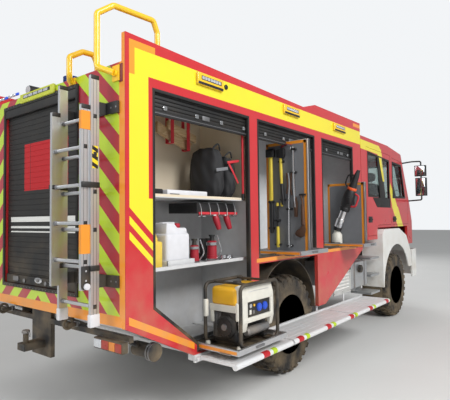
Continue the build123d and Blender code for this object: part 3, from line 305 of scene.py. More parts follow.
# %% Body livery
body_paint = Finish("body_paint", coat_roughness=0.08)
x, y, z = body_paint.axes()
slant = z + 0.926 * (y - 0.042)
top_band = band(z, 2.905, 3.102) * (y > 0.037)
pillar = band(y, 0.037, 0.229) * band(z, 0.9, 2.95) | band(y, 0.037, 0.272) * (z < 1.94)
stripes = pillar * ((slant > 1.865) | band(slant, 1.743, 1.802) | band(slant, 1.626, 1.685))
low_stripe = within(y, z, [(0.26, 1.405), (0.6, 1.09), (0.737, 0.943), (0.643, 1.051), (0.26, 1.46)])
colour = body_paint.mix(top_band | stripes | low_stripe, red, yellow)
corner_tape = band(y, 0.037, 0.09) * band(z, 2.89, 3.157)
amber_tape = (band(y, 0.037, 0.302) * band(z, 3.103, 3.157)) | corner_tape
sill_line = band(z, 1.318, 1.358) * (band(y, 1.7, 3.05) | band(y, 3.22, 4.3))
slope = z + 0.478 * y
departure_tape = band(slope, 1.012, 1.07) * band(y, 0.03, 0.74)
front_patch = band(y, 4.3, 4.56) * band(z, 3.15, 3.2)
colour = body_paint.mix(amber_tape | sill_line | departure_tape | front_patch, colour, amber)
side_skin = 1.2492
chevron_pitch = 0.3
side_face = abs(x) > side_skin
colour = body_paint.mix(side_face, red, colour)
chevron_line = 3.804 - (abs(x - 0.01) * 0.93 + z)
chevron = (chevron_line % chevron_pitch) < chevron_pitch / 2
# Rear chevrons: the red, and the lime a little, are set darker than their paint as painted shade of the rear
# face.
rear_colour = body_paint.mix(chevron, lime, rear_red_with_painted_shade)
border = (abs(x) > 1.178) | (z > 2.98) | (z < 1.056)
rear_colour = body_paint.mix(border, rear_colour, amber)
rear_colour = body_paint.mix(abs(x) > side_skin - 0.0067, rear_colour, red)
colour = body_paint.mix(y < 0.0008, colour, rear_colour)
paint(body_paint, colour, z)
print("body paint:", len(body_paint.tree.nodes), "nodes")

# %% [markdown]
# ## Cab livery
# On the cab the yellow band follows the roof edge, comes down between the panes and then widens towards the
# front wheel, with a thin line beside it. The front is plain red.

# %% Cab livery
cab_paint = Finish("cab_paint", coat_roughness=0.08)
x, y, z = cab_paint.axes()
roof_band = within(y, z, [(4.6, 2.875), (5.42, 2.855), (5.62, 2.935), (5.52, 3.005), (4.6, 3.022)])
pillar_band = within(y, z, [(5.665, 2.4), (5.77, 2.385), (5.7, 2.75), (5.62, 2.96), (5.42, 2.9)])
upper_sweep = within(y, z, [(6.02, 2.26), (6.15, 1.93), (6.47, 1.955), (6.25, 2.19), (6.06, 2.43)])
lower_sweep = within(y, z, [(6.135, 1.97), (6.43, 1.59), (6.62, 1.42), (6.86, 1.42), (6.77, 1.57),
                            (6.46, 1.97)])
tail = within(y, z, [(6.6, 1.45), (6.9, 1.2), (7.1, 1.2), (6.86, 1.45)])
thin_line = within(y, z, [(6.03, 1.94), (6.32, 1.6), (6.56, 1.42), (6.58, 1.42), (6.345, 1.6),
                          (6.055, 1.94)])
livery = roof_band | pillar_band | upper_sweep | lower_sweep | tail | thin_line
colour = cab_paint.mix(livery * (abs(x) > 1.12), red, yellow)
paint(cab_paint, colour, z)
print("cab paint:", len(cab_paint.tree.nodes), "nodes")

# %% [markdown]
# ## Plain finishes
# Most other pieces are one material through and through: white and red paint, aluminium, black steel,
# rubber, glass. Each still varies a little in colour, gloss and relief, at the scale of the real thing. The
# lockers are light grey, and the rear one is beige above its upper shelf.

# %% Painted and moulded finishes
def plain_paint(name, colour, gloss=0.26, amount=1.0):
    made = Finish(name, coat_roughness=0.1)
    paint(made, colour, made.axes()[2], gloss, amount)
    return made


def moulded(name, colour, roughness=0.5, grain=300.0, depth=0.0003, amount=1.0):
    """Moulded plastic or powder coat with a fine grain."""
    made = Finish(name)
    z = made.axes()[2]
    shown, mask = dusty(made, made.mix(made.noise(14.0, 4.0), colour, tuple(v * 0.82 for v in colour[:3])
                                       + (1,)), z, amount)
    made.vary("Base Color", shown)
    made.vary("Roughness", roughness + 0.25 * mask + 0.12 * made.noise(30.0, 3.0))
    made.relief(made.noise(grain, 2.0), depth, 0.5)
    return made


white_paint = plain_paint("white_paint", white, 0.32)
red_paint = plain_paint("red_paint", red)
yellow_paint = plain_paint("yellow_paint", rgb(244, 196, 30), 0.3, 0.4)
black_steel = moulded("black_steel", rgb(36, 36, 37), 0.5, 260.0, 0.0004)
locker_panel = moulded("locker_panel", locker_grey, 0.42, 500.0, 0.0002, 0.3)
x, y, z = locker_panel.axes()
locker_panel.over((z > 1.968) * (y < 1.65), rgb(222, 208, 184))
black_plastic = moulded("black_plastic", rgb(28, 28, 29), 0.45, 600.0, 0.0003)
tank_plastic = moulded("tank_plastic", rgb(205, 206, 200), 0.45, 90.0, 0.0005)
cab_trim = moulded("cab_trim", rgb(70, 72, 76), 0.7, 700.0, 0.0005)
print("painted and moulded finishes: 8")

# %% [markdown]
# ## Metal
# Aluminium is drawn or rolled in one direction, so its grain is noise stretched along the length. The
# shutters are black slats with a softer sheen, and the rear one carries white lines and a red field. The
# steps are white, with red and lime patches on their edge.

# %% Metal finishes
def metal(name, colour, roughness, stretch, grain=0.5, amount=0.6, metallic=1.0):
    """Drawn or rolled metal, its grain stretched along one axis."""
    made = Finish(name)
    z = made.axes()[2]
    lines = made.noise(60.0, 5.0, stretch)
    shown = made.mix(lines * 0.5, colour, tuple(v * 0.72 for v in colour[:3]) + (1,))
    shown, mask = dusty(made, shown, z, amount)
    made.vary("Base Color", shown)
    made.vary("Metallic", metallic - metallic * mask)
    made.vary("Roughness", roughness + 0.25 * mask + 0.12 * lines)
    made.relief(lines, 0.0004, grain)
    return made


aluminium = metal("aluminium", rgb(214, 216, 219), 0.34, (1.0, 1.0, 0.04), 0.35, 0.5)
shutter_black = metal("shutter_black", rgb(46, 46, 46), 0.42, (0.05, 0.05, 3.0), 0.3, 0.8, 0.4)
x, y, z = shutter_black.axes()
rear_lines = band(z, 1.77, 1.818) | band(z, 1.709, 1.73) | band(z, 1.67, 1.682)
shutter_black.over(rear_lines * band(x, -0.559, 0.62) * (y < 0.1), white)
shutter_black.over(band(z, 2.066, 2.515) * (band(x, -0.3, -0.19) | band(x, -0.184, 0.45)) * (y < 0.1),
                   red)
step_planks = metal("step_planks", rgb(238, 239, 240), 0.42, (0.6, 0.04, 0.6), 0.35, 0.3, 0.25)
x, y, z = step_planks.axes()
edge_bar = (abs(x) > 1.655) * (z < 0.7)
step_planks.over(edge_bar * (((y + 0.1) % 0.62) < 0.1), red)
step_planks.over(edge_bar * (((y - 0.05) % 0.62) < 0.07), lime)
tank_metal = metal("tank_metal", rgb(206, 209, 212), 0.36, (1.0, 0.05, 1.0), 0.3, 0.5)
x, y, z = tank_metal.axes()
tank_metal.over((abs(x) > 1.194) * (y < 4.2), white)
worn_steel = metal("worn_steel", rgb(150, 150, 152), 0.45, (1.0, 1.0, 1.0), 0.4, 0.8)
wheel_steel = metal("wheel_steel", rgb(205, 206, 205), 0.5, (1.0, 1.0, 1.0), 0.3, 1.0, 0.5)

tread_rubber = Finish("tread_rubber")
worn = tread_rubber.mix(tread_rubber.noise(26.0, 5.0), rgb(34, 33, 32), rgb(58, 54, 50))
shown, mask = dusty(tread_rubber, worn, tread_rubber.axes()[2], 0.9)
tread_rubber.vary("Base Color", shown)
tread_rubber.vary("Roughness", 0.78 + 0.15 * tread_rubber.noise(90.0, 3.0))
tread_rubber.relief(tread_rubber.noise(160.0, 4.0), 0.0012, 0.5)

glass = Finish("glass", transmission_weight=1.0, ior=1.2)
smear = glass.ramp(glass.noise(4.0, 6.0), 0.45, 0.8)
glass.vary("Base Color", glass.mix(smear, rgb(196, 208, 206), rgb(184, 192, 186)))
glass.vary("Roughness", 0.02 + 0.06 * smear)

blue_lens = Finish("blue_lens", emission_strength=0.15)
facets = (blue_lens.axes()[0] * 90.0) % 1.0
blue_lens.vary("Base Color", blue_lens.mix(facets, rgb(24, 62, 190), rgb(46, 100, 225)))
blue_lens.vary("Emission Color", rgb(20, 60, 200))
blue_lens.vary("Roughness", 0.12 + 0.1 * facets)

lamp_lens = Finish("lamp_lens")
x, y, z = lamp_lens.axes()
ribs = ((x + y) * 60.0) % 1.0
lamp_lens.vary("Base Color", lamp_lens.mix(ribs, rgb(228, 230, 232), rgb(190, 194, 200)))
lamp_lens.vary("Roughness", 0.08 + 0.16 * ribs)
lamp_lens.vary("Metallic", 0.35 + 0.2 * ribs)
print("metal, rubber and lens finishes: 10")

# %% [markdown]
# ## Dress the CAD nodes
# A CAD node keeps its shape and only gets a better material. The table says which.

# %% Assign finishes to CAD nodes
node_finishes = {body_paint: ["body_side_right", "body_side_left", "body_rear_wall"],
                 cab_paint: ["cab_shell", "door_crew_right", "door_front_right", "door_crew_left",
                             "door_front_left"], white_paint: ["front_bumper", "front_mudguards"],
                 locker_panel: ["locker_walls", "locker_shelves"], shutter_black: ["roller_shutters"],
                 aluminium: ["ladder", "roof_load", "tray_generator", "tray_tools", "tray_rescue"],
                 step_planks: ["sill_rails", "step_right_middle", "step_right_front", "step_left_rear",
                               "step_left_middle", "step_left_front"], tank_metal: ["side_tanks"],
                 black_steel: ["frame_rails", "axles", "running_gear", "engine", "tow_hitch", "rear_arches",
                               "knuckle_right", "knuckle_left", "ladder_brackets", "generator_frame"],
                 yellow_paint: ["roof_handrails", "generator_set"], tank_plastic: ["water_tank"],
                 tread_rubber: ["tyre_front_right", "tyre_front_left", "tyre_rear_right", "tyre_rear_left"],
                 wheel_steel: ["rim_front_right", "rim_front_left", "rim_rear_right", "rim_rear_left"],
                 glass: ["cab_glass", "door_glass_crew_right", "door_glass_front_right",
                         "door_glass_crew_left", "door_glass_front_left"], cab_trim: ["cab_interior"],
                 black_plastic: ["mirrors", "rescue_tool"], blue_lens: ["light_bar"], lamp_lens: ["lamps"],
                 worn_steel: ["hand_tools"], red_paint: ["body_roof", "locker_goods"], }
dressed = set()
for finish, names in node_finishes.items():
    for name in names:
        for slot in nodes[name].material_slots:
            slot.material = finish.material
        dressed.add(name)
floor_finish = Finish("floor_finish", roughness=0.9)
floor_cloud = floor_finish.noise(0.8, 3.0)
floor_finish.vary("Base Color", floor_finish.mix(floor_cloud, rgb(214, 214, 212), rgb(222, 222, 220)))
floor_mesh.materials.append(floor_finish.material)
print("dressed nodes:", len(dressed), "of", len(nodes), "missing:", sorted(set(nodes) - dressed))

# %% [markdown]
# ## A kit of shapes
# Most detail on a truck is cut, turned, bent or pressed stock. A form collects such shapes in one mesh,
# each with its own finish, so a generator is one piece and not forty. Lengths along the truck are given
# from its rear face, as the photograph was measured, and heights from the form's lift. The form is moved
# into the frame when it is made.

# %% Shapes that a form can take
SHARP = radians(38)


def axis_point(axis, u, v, w):
    """A point from its place along an axis, w, and its two coordinates in the plane across it."""
    return {"x": (w, u, v), "y": (u, w, v), "z": (u, v, w)}[axis]


class Form:
    """A mesh put together from simple shapes."""

    def __init__(self, name, lift=0.0):
        self.name = name
        self.lift = lift
        self.mesh = bmesh.new()
        self.finishes = []

    def join(self, shape, finish):
        """Adds a shape, made in a mesh of its own, in one finish."""
        if finish not in self.finishes:
            self.finishes.append(finish)
        for face in shape.faces:
            face.material_index = self.finishes.index(finish)
            face.smooth = True
        part = bpy.data.meshes.new("part")
        shape.to_mesh(part)
        shape.free()
        self.mesh.from_mesh(part)
        bpy.data.meshes.remove(part)

    def block(self, low, high, finish, round_off=0.004, steps=2, turn=None, about=None):
        """A box between opposite corners, with rounded edges, turned about a point when asked."""
        shape = bmesh.new()
        size = [abs(v) for v in Vector(high) - Vector(low)]
        middle = (Vector(high) + Vector(low)) / 2
        bmesh.ops.create_cube(shape, size=1)
        bmesh.ops.scale(shape, vec=size, verts=shape.verts)
        if round_off:
            bmesh.ops.bevel(shape, geom=shape.edges[:], offset=min(round_off, min(size) * 0.45),
                            segments=steps, affect="EDGES", profile=0.5)
        bmesh.ops.translate(shape, vec=middle, verts=shape.verts)
        if turn is not None:
            bmesh.ops.rotate(shape, cent=about or middle, matrix=turn.to_3x3(), verts=shape.verts)
        self.join(shape, finish)

    def lump(self, size, place, finish, ease):
        """A small box with eased edges, put in place by a matrix."""
        shape = bmesh.new()
        bmesh.ops.create_cube(shape, size=1)
        bmesh.ops.scale(shape, vec=size, verts=shape.verts)
        bmesh.ops.bevel(shape, geom=shape.edges[:], offset=ease, segments=1, affect="EDGES")
        bmesh.ops.transform(shape, matrix=place, verts=shape.verts)
        self.join(shape, finish)

    def plate(self, axis, outline, start, end, finish, round_off=0.003):
        """A flat outline given thickness along an axis."""
        shape = bmesh.new()
        low = [shape.verts.new(axis_point(axis, u, v, start)) for u, v in outline]
        high = [shape.verts.new(axis_point(axis, u, v, end)) for u, v in outline]
        shape.faces.new(low)
        shape.faces.new(list(reversed(high)))
        count = len(outline)
        for i in range(count):
            shape.faces.new((low[i], high[i], high[(i + 1) % count], low[(i + 1) % count]))
        bmesh.ops.recalc_face_normals(shape, faces=shape.faces[:])
        if round_off:
            bmesh.ops.bevel(shape, geom=shape.edges[:], offset=round_off, segments=2, affect="EDGES",
                            profile=0.5)
        self.join(shape, finish)

    def loft(self, shape, rings, finish):
        """A skin over rings of points, closed at both ends."""
        count = len(rings[0])
        for a, b in zip(rings, rings[1:]):
            for i in range(count):
                shape.faces.new((a[i], a[(i + 1) % count], b[(i + 1) % count], b[i]))
        shape.faces.new(list(reversed(rings[0])))
        shape.faces.new(rings[-1])
        bmesh.ops.recalc_face_normals(shape, faces=shape.faces[:])
        self.join(shape, finish)

    def turned(self, start, end, profile, finish, sides=24):
        """A turned shape: the profile is (share of the way from start to end, radius)."""
        shape = bmesh.new()
        start, end = Vector(start), Vector(end)
        turn = (end - start).to_track_quat("Z", "X").to_matrix()
        rings = []
        for share, radius in profile:
            centre = start.lerp(end, share)
            angles = [2 * pi * i / sides for i in range(sides)]
            rings.append([shape.verts.new(centre + turn @ Vector((radius * cos(a), radius * sin(a), 0)))
                          for a in angles])
        self.loft(shape, rings, finish)

    def upright(self, foot, low, high, profile, finish, sides=24):
        """A turned shape that stands over a point, between two heights above it."""
        rise = Vector((0, 0, 1))
        self.turned(foot + rise * low, foot + rise * high, profile, finish, sides)

    def rod(self, start, end, radius, finish, sides=16, round_off=None):
        """A plain bar with eased ends."""
        length = (Vector(end) - Vector(start)).length
        ease = min(round_off if round_off is not None else radius * 0.25, length * 0.4)
        share = ease / length
        self.turned(start, end, [(0, radius - ease * 0.9), (share, radius), (1 - share, radius),
                                 (1, radius - ease * 0.9)], finish, sides)

    def pipe(self, points, radius, finish, bend=0.05, sides=10, steps=5, width=None):
        """Bent metal pipe through points, its corners bent to a radius. A width makes it a flat strap."""
        points = [Vector(p) for p in points]
        line = [points[0]]
        for before, corner, after in zip(points, points[1:], points[2:]):
            reach = min(bend, (before - corner).length * 0.45, (after - corner).length * 0.45)
            a = corner + (before - corner).normalized() * reach
            b = corner + (after - corner).normalized() * reach
            for i in range(steps + 1):
                t = i / steps
                line.append(a * (1 - t) ** 2 + corner * 2 * t * (1 - t) + b * t ** 2)
        line.append(points[-1])
        shape = bmesh.new()
        rings = []
        side_way = None
        for i, point in enumerate(line):
            ahead = (line[min(i + 1, len(line) - 1)] - line[max(i - 1, 0)]).normalized()
            if side_way is None:
                side_way = ahead.orthogonal() if abs(ahead.z) > 0.9 else ahead.cross(Vector((0, 0, 1)))
                side_way.normalize()
            side_way = (side_way - ahead * side_way.dot(ahead)).normalized()
            over_way = ahead.cross(side_way)
            rings.append([shape.verts.new(point + side_way * (width or radius) * cos(2 * pi * k / sides)
                                          + over_way * radius * sin(2 * pi * k / sides))
                          for k in range(sides)])
        self.loft(shape, rings, finish)

    def make(self, body, slot, *stands_for):
        """Puts the form into the frame, on a body."""
        bmesh.ops.translate(self.mesh, vec=(0, rear_y, self.lift), verts=self.mesh.verts)
        data = bpy.data.meshes.new(self.name)
        self.mesh.to_mesh(data)
        self.mesh.free()
        for finish in self.finishes:
            data.materials.append(finish.material)
        data.set_sharp_from_angle(angle=SHARP)
        made = bpy.data.objects.new(self.name, data)
        bpy.context.collection.objects.link(made)
        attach(made, body)
        if stands_for:
            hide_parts(*stands_for)
        print(self.name, "faces", len(data.polygons), "on", body)
        return made


def turn_about(axis, degrees):
    return Matrix.Rotation(radians(degrees), 4, axis)


print("form kit ready")

# %% [markdown]
# ## Off-road tyres
# The tyres are tall and chunky, with big lugs in staggered rows and more lugs on the shoulders. The carcass
# is a turned profile and the lugs are blocks set round it. Each lug reaches the same radius as the CAD
# tyre, so that the truck stands on the same ground.

# %% Build the four tyres and their rims
axle_places = {"rear": 2.4, "front": 6.15}
wheel_centre_x = 1.05
tyre_radius = 0.56
half_width = 0.18
lug_count = 30
lug_pitch = 2 * pi / lug_count
nut_count = 10


def tyre(name, side, y, body):
    made = Form(name)
    centre = Vector((side * wheel_centre_x, y, tyre_radius))
    half_profile = [(0.128, 0.266), (0.158, 0.3), (0.174, 0.352), (0.179, 0.42), (0.174, 0.48),
                    (0.16, 0.516), (0.128, 0.534)]
    profile = [(-offset, radius) for offset, radius in half_profile] + [(0.0, 0.538)] + half_profile[::-1]
    across = Vector((half_width, 0, 0))
    carcass = [((offset + half_width) / (2 * half_width), radius) for offset, radius in profile]
    made.turned(centre - across, centre + across, carcass, tread_rubber, 64)
    wall = Vector((half_width - 0.0005, 0, 0))
    for radius in (0.33, 0.395):
        ridge = [(0, radius - 0.004), (0, radius + 0.004), (1, radius + 0.004), (1, radius - 0.004)]
        made.turned(centre - wall, centre + wall, ridge, tread_rubber, 48)
    for i in range(lug_count):
        angle = lug_pitch * i
        for row, shift in ((0.052, 0.0), (-0.052, 0.5)):
            spin = Matrix.Translation(centre) @ Matrix.Rotation(angle + shift * lug_pitch, 4, "X")
            place = spin @ Matrix.Translation((row, 0, 0.5425)) @ turn_about("Z", 18 if row > 0 else -18)
            made.lump((0.088, 0.064, 0.034), place, tread_rubber, 0.005)
        for way in (1, -1):
            between = angle + (0.5 - way * 0.25) * lug_pitch
            spin = Matrix.Translation(centre) @ Matrix.Rotation(between, 4, "X")
            shoulder = Matrix.Translation((way * 0.14, 0, 0.528)) @ turn_about("Y", way * 20)
            made.lump((0.06, 0.062, 0.04), spin @ shoulder, tread_rubber, 0.006)
            rib = spin @ Matrix.Translation((way * 0.1745, 0, 0.47))
            made.lump((0.01, 0.04, 0.062), rib, tread_rubber, 0.003)
    made.make(body, "tyre", name)


for end, y in axle_places.items():
    for tag, side in (("right", 1), ("left", -1)):
        body = f"wheel_{end}_{tag}"
        tyre(f"tyre_{end}_{tag}", side, y, body)
        trim = Form(f"wheel_nuts_{end}_{tag}")
        outwards = Vector((side, 0, 0))
        for i in range(nut_count):
            angle = 2 * pi * i / nut_count
            round_hub = Vector((0, cos(angle), sin(angle))) * 0.165
            place = Vector((side * (wheel_centre_x + 0.078), y, tyre_radius)) + round_hub
            nut = [(0, 0.017), (0.7, 0.017), (1, 0.011)]
            trim.turned(place, place + outwards * 0.03, nut, worn_steel, 6)
        hub = Vector((side * (wheel_centre_x + 0.095), y, tyre_radius))
        cap = [(0, 0.085), (0.15, 0.088), (0.6, 0.08), (0.85, 0.06), (1, 0.045)]
        trim.turned(hub, hub + outwards * 0.05, cap, wheel_steel, 28)
        trim.turned(hub + outwards * 0.05, hub + outwards * 0.056, [(0, 0.03), (1, 0.024)], worn_steel, 6)
        trim.make(body, "rim")

# %% [markdown]
# ## The generator on its pulled-out tray
# A petrol generator stands in a black tube frame: a yellow tank on top, a black engine with its recoil
# starter facing the rear, and a cream cover that wraps over the socket side. It is mostly bent sheet, so
# plates with rounded outlines carry it.

# %% Build the generator
cream = moulded("cream_cover", rgb(226, 223, 212), 0.38, 400.0, 0.0002, 0.3)
tank_yellow = moulded("tank_yellow", rgb(246, 186, 32), 0.36, 350.0, 0.0003, 0.3)
socket_blue = moulded("socket_blue", rgb(28, 82, 205), 0.4, 500.0, 0.0002, 0.2)
engine_black = moulded("engine_black", rgb(30, 30, 32), 0.42, 150.0, 0.0006, 0.3)
label_orange = moulded("label_orange", rgb(228, 140, 60), 0.35, 500.0, 0.0001, 0.1)
chrome = metal("chrome", rgb(225, 226, 228), 0.12, (1.0, 1.0, 1.0), 0.1, 0.2)

base_z = 0.664
generator = Form("generator_set", base_z)
# Tank: a crowned yellow box with a lip and a filler cap
generator.block((1.262, 0.945, 0.35), (1.545, 1.445, 0.512), tank_yellow, 0.035, 4)
generator.block((1.255, 0.935, 0.338), (1.552, 1.455, 0.358), cream, 0.006)
generator.turned((1.4, 1.16, 0.508), (1.4, 1.16, 0.54), [(0, 0.042), (0.6, 0.042), (1, 0.036)],
                 engine_black)
generator.block((1.262, 0.936, 0.3), (1.545, 0.95, 0.345), cream)
# Engine: a shrouded block, its recoil starter, silencer and fins
generator.block((1.27, 0.96, 0.045), (1.53, 1.43, 0.325), engine_black, 0.014)
starter = Vector((1.43, 0.962, 0.17))
generator.turned(starter, starter + Vector((0, -0.035, 0)),
                 [(0, 0.105), (0.5, 0.102), (0.8, 0.088), (1, 0.07)], engine_black, 32)
generator.turned(starter + Vector((0, -0.035, 0)), starter + Vector((0, -0.046, 0)),
                 [(0, 0.03), (1, 0.026)], worn_steel, 20)
for i in range(18):
    angle = 2 * pi * i / 18
    away = Vector((cos(angle) * 0.078, 0, sin(angle) * 0.078))
    generator.block(starter + away + Vector((-0.004, -0.041, -0.01)), starter + away
                    + Vector((0.004, -0.026, 0.01)), engine_black, 0.001, 1, turn_about("Y", -i * 20))
for i in range(9):
    z = 0.075 + i * 0.026
    generator.block((1.275, 1.428, z), (1.525, 1.438, z + 0.01), worn_steel, 0.002, 1)
for i in range(6):
    x = 1.285 + i * 0.016
    generator.block((x, 0.95, 0.07), (x + 0.006, 0.962, 0.29), worn_steel, 0.001, 1)
generator.block((1.262, 0.938, 0.2), (1.3, 0.952, 0.3), cream)
# Cover: a wrap-round sheet on the socket side, open in a window for the panel
generator.plate("y", [(1.505, 0.516), (1.548, 0.532), (1.58, 0.512), (1.602, 0.425), (1.606, 0.385),
                      (1.592, 0.385), (1.586, 0.425), (1.566, 0.498), (1.545, 0.514), (1.505, 0.5)], 0.985,
                1.43, cream, 0.002)
for y0, y1 in ((0.965, 1.04), (1.4, 1.45)):
    generator.plate("y", [(1.5, 0.5), (1.548, 0.532), (1.58, 0.514), (1.604, 0.425), (1.606, 0.215),
                          (1.585, 0.13), (1.555, 0.13), (1.545, 0.3)], y0, y1, cream, 0.006)
generator.block((1.584, 0.975, 0.205), (1.607, 1.44, 0.25), cream, 0.006)
generator.block((1.56, 1.03, 0.245), (1.59, 1.41, 0.4), engine_black)
socket_z = 0.318
for y in (1.225, 1.315):
    generator.turned((1.586, y, socket_z), (1.608, y, socket_z),
                     [(0, 0.036), (0.7, 0.036), (0.8, 0.03), (1, 0.028)], socket_blue)
    generator.turned((1.6075, y, socket_z), (1.6095, y, socket_z), [(0, 0.022), (1, 0.02)], socket_blue)
generator.turned((1.588, 1.095, 0.345), (1.597, 1.095, 0.345), [(0, 0.02), (1, 0.018)], chrome, 20)
generator.turned((1.588, 1.15, 0.345), (1.597, 1.15, 0.345), [(0, 0.012), (1, 0.011)], tank_yellow, 16)
generator.block((1.588, 1.08, 0.27), (1.594, 1.11, 0.31), cream, 0.002)
generator.block((1.588, 1.13, 0.27), (1.594, 1.16, 0.3), worn_steel, 0.002)
# Bare label plates on the slope of the cover
slope = turn_about("Y", 15.5)
generator.block((1.586, 1.06, 0.44), (1.589, 1.385, 0.472), aluminium, 0.001, 1, slope, (1.592, 1.2, 0.458))
generator.block((1.589, 1.06, 0.44), (1.5915, 1.385, 0.455), label_orange, 0.001, 1, slope,
                (1.592, 1.2, 0.458))
# Corner bars, feet, silencer under the cover
for x in (1.238, 1.6):
    generator.block((x - 0.018, 0.885, 0.245), (x + 0.018, 0.93, 0.4), cream, 0.012, 3)
generator.block((1.275, 0.99, 0.028), (1.56, 1.04, 0.05), engine_black)
generator.block((1.275, 1.35, 0.028), (1.56, 1.4, 0.05), engine_black)
generator.rod((1.56, 1.06, 0.12), (1.56, 1.4, 0.12), 0.04, worn_steel, 20, 0.015)
for x in (1.25, 1.6):
    for y in (0.915, 1.475):
        generator.turned((x, y, -0.004), (x, y, 0.034), [(0, 0.022), (0.5, 0.024), (1, 0.018)], cream, 16)
generator.make("tray_generator", "generator_shell", "generator_set")

mat = Form("generator_mat", base_z)
mat.block((1.08, 0.835, -0.01), (1.65, 1.535, -0.001), black_plastic, 0.003)
for i in range(14):
    y = 0.86 + i * 0.05
    mat.block((1.09, y, -0.002), (1.64, y + 0.02, 0.001), black_plastic, 0.001, 1)
mat.make("tray_generator", "black_plastic")

# %% [markdown]
# ## Goods in the first locker
# The lower shelf holds a jerrycan in a tray, a yellow can, hose couplings and nozzles, and the upper one
# flat boxes. The bags and boards of the upper shelf come in a later cell. Heights are from the lower shelf.

# %% Build the shelf goods
lower_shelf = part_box("locker_goods")[0][2]
shelf_gap = 0.61
can_yellow = moulded("can_yellow", rgb(238, 206, 84), 0.4, 300.0, 0.0003, 0.3)
can_white = moulded("can_white", rgb(228, 228, 232), 0.35, 250.0, 0.0003, 0.2)
cap_red = moulded("cap_red", rgb(170, 30, 48), 0.4, 300.0, 0.0002, 0.2)
strap_red = moulded("strap_red", rgb(205, 48, 58), 0.65, 900.0, 0.0004, 0.2)
board_wood = Finish("board_wood")
grain = board_wood.noise(5.0, 6.0, (1.0, 0.12, 1.0))
rings = (grain * 26.0) % 1.0
board_wood.vary("Base Color", board_wood.mix(rings, rgb(206, 178, 138), rgb(176, 143, 100)))
board_wood.vary("Roughness", 0.62 + 0.14 * grain)
board_wood.relief(rings, 0.0006, 0.4)

goods = Form("locker_goods", lower_shelf)
# White jerrycan with its handle and cap, in a grey tray
goods.block((0.86, 0.575, 0.012), (1.09, 0.87, 0.3), can_white, 0.03, 4)
goods.plate("x", [(0.59, 0.285), (0.6, 0.39), (0.69, 0.39), (0.735, 0.345), (0.85, 0.345), (0.86, 0.285)],
            0.885, 1.065, can_white, 0.014)
goods.block((0.945, 0.61, 0.375), (1.005, 0.76, 0.398), can_white, 0.01, 3)
goods.turned((0.975, 0.8, 0.34), (0.975, 0.8, 0.385), [(0, 0.036), (0.15, 0.038), (0.9, 0.038), (1, 0.033)],
             cap_red, 20)
goods.block((0.84, 0.555, 0), (1.12, 0.572, 0.065), locker_panel, 0.003)
goods.block((0.84, 0.878, 0), (1.12, 0.895, 0.065), locker_panel, 0.003)
goods.block((1.105, 0.555, 0), (1.12, 0.895, 0.065), locker_panel, 0.003)
goods.block((0.84, 0.555, 0), (1.12, 0.895, 0.012), locker_panel, 0.003)
# Yellow can with a narrow neck
goods.block((0.92, 0.35, 0), (1.08, 0.54, 0.235), can_yellow, 0.02, 3)
goods.turned((1.0, 0.47, 0.225), (1.0, 0.47, 0.4), [(0, 0.062), (0.2, 0.058), (0.6, 0.03), (1, 0.026)],
             can_yellow, 20)
goods.turned((1.0, 0.47, 0.395), (1.0, 0.47, 0.425), [(0, 0.034), (1, 0.03)], black_plastic, 16)
# Branch pipes and couplings: red barrels with bright rings
barrel = [(0, 0.8), (0.06, 1.15), (0.14, 1.15), (0.16, 1), (0.3, 1), (0.31, 0.92), (0.78, 0.9), (0.8, 1.1),
          (0.92, 1.1), (1, 0.7)]
nozzle = [(0, 0.5), (0.7, 0.42), (0.72, 0.62), (1, 0.6)]
for y, height, radius in ((1.02, 0.175, 0.046), (1.28, 0.205, 0.052)):
    foot = Vector((1.0, y, 0))
    goods.upright(foot, 0, height, [(share, radius * width) for share, width in barrel], cap_red)
    for low, high, width in ((0.06, 0.15, 1.16), (0.79, 0.93, 1.12)):
        goods.upright(foot, height * low, height * high, [(0, radius * width), (1, radius * width)], chrome)
    tip = [(share, radius * width) for share, width in nozzle]
    goods.upright(foot, height, height + 0.06, tip, black_plastic, 20)
    goods.pipe([foot + Vector((0.02, 0.05, 0.03)), foot + Vector((0.055, 0.085, 0.1)), foot
                + Vector((0.02, 0.06, height + 0.05))], 0.006, chrome, 0.03, 8)
for y in (1.41, 1.5):
    foot = Vector((1.04, y, 0))
    goods.turned(foot, foot + Vector((0, 0, 0.055)), [(0, 0.05), (0.4, 0.052), (0.5, 0.04), (1, 0.036)],
                 chrome, 20)
    for i in range(3):
        angle = 2 * pi * i / 3 + y
        arm = Vector((cos(angle) * 0.058, sin(angle) * 0.058, 0.02))
        goods.rod(foot + Vector((0, 0, 0.02)), foot + arm, 0.01, chrome, 10)
for y in (0.7, 0.95, 1.12, 1.36, 1.45):
    foot = Vector((0.8, y, 0))
    goods.turned(foot, foot + Vector((0, 0, 0.22)), [(0, 0.04), (0.3, 0.044), (0.35, 0.03), (1, 0.034)],
                 engine_black, 18)
# A black box hung below the upper shelf, its red rail and bright hangers, two nozzles
shelf_under = shelf_gap - 0.031
goods.block((0.7, 0.975, shelf_under - 0.1), (1.08, 1.56, shelf_under), engine_black, 0.006)
goods.block((1.085, 0.985, shelf_under - 0.115), (1.1, 1.575, shelf_under - 0.09), strap_red)
for y in (0.985, 1.115, 1.245, 1.375, 1.505):
    goods.pipe([(1.1, y, shelf_under), (1.115, y + 0.01, shelf_under - 0.05),
                (1.105, y + 0.025, shelf_under - 0.125), (1.085, y + 0.045, shelf_under - 0.135)], 0.004,
               chrome, 0.02, 6)
for y in (1.255, 1.425):
    top = Vector((1.06, y, shelf_under - 0.115))
    tip = top + Vector((0.02, 0.045, -0.145))
    goods.turned(top, tip, [(0, 0.02), (0.1, 0.03), (0.35, 0.034), (0.9, 0.026), (1, 0.02)], cap_red, 18)
    goods.turned(top + Vector((0, -0.01, 0.02)), top, [(0, 0.034), (1, 0.036)], chrome, 18)
for y in (1.0, 1.06, 1.33, 1.5, 1.55):
    goods.rod((1.07, y, shelf_under - 0.128), (1.07, y + 0.04, shelf_under - 0.128), 0.011, chrome, 12)
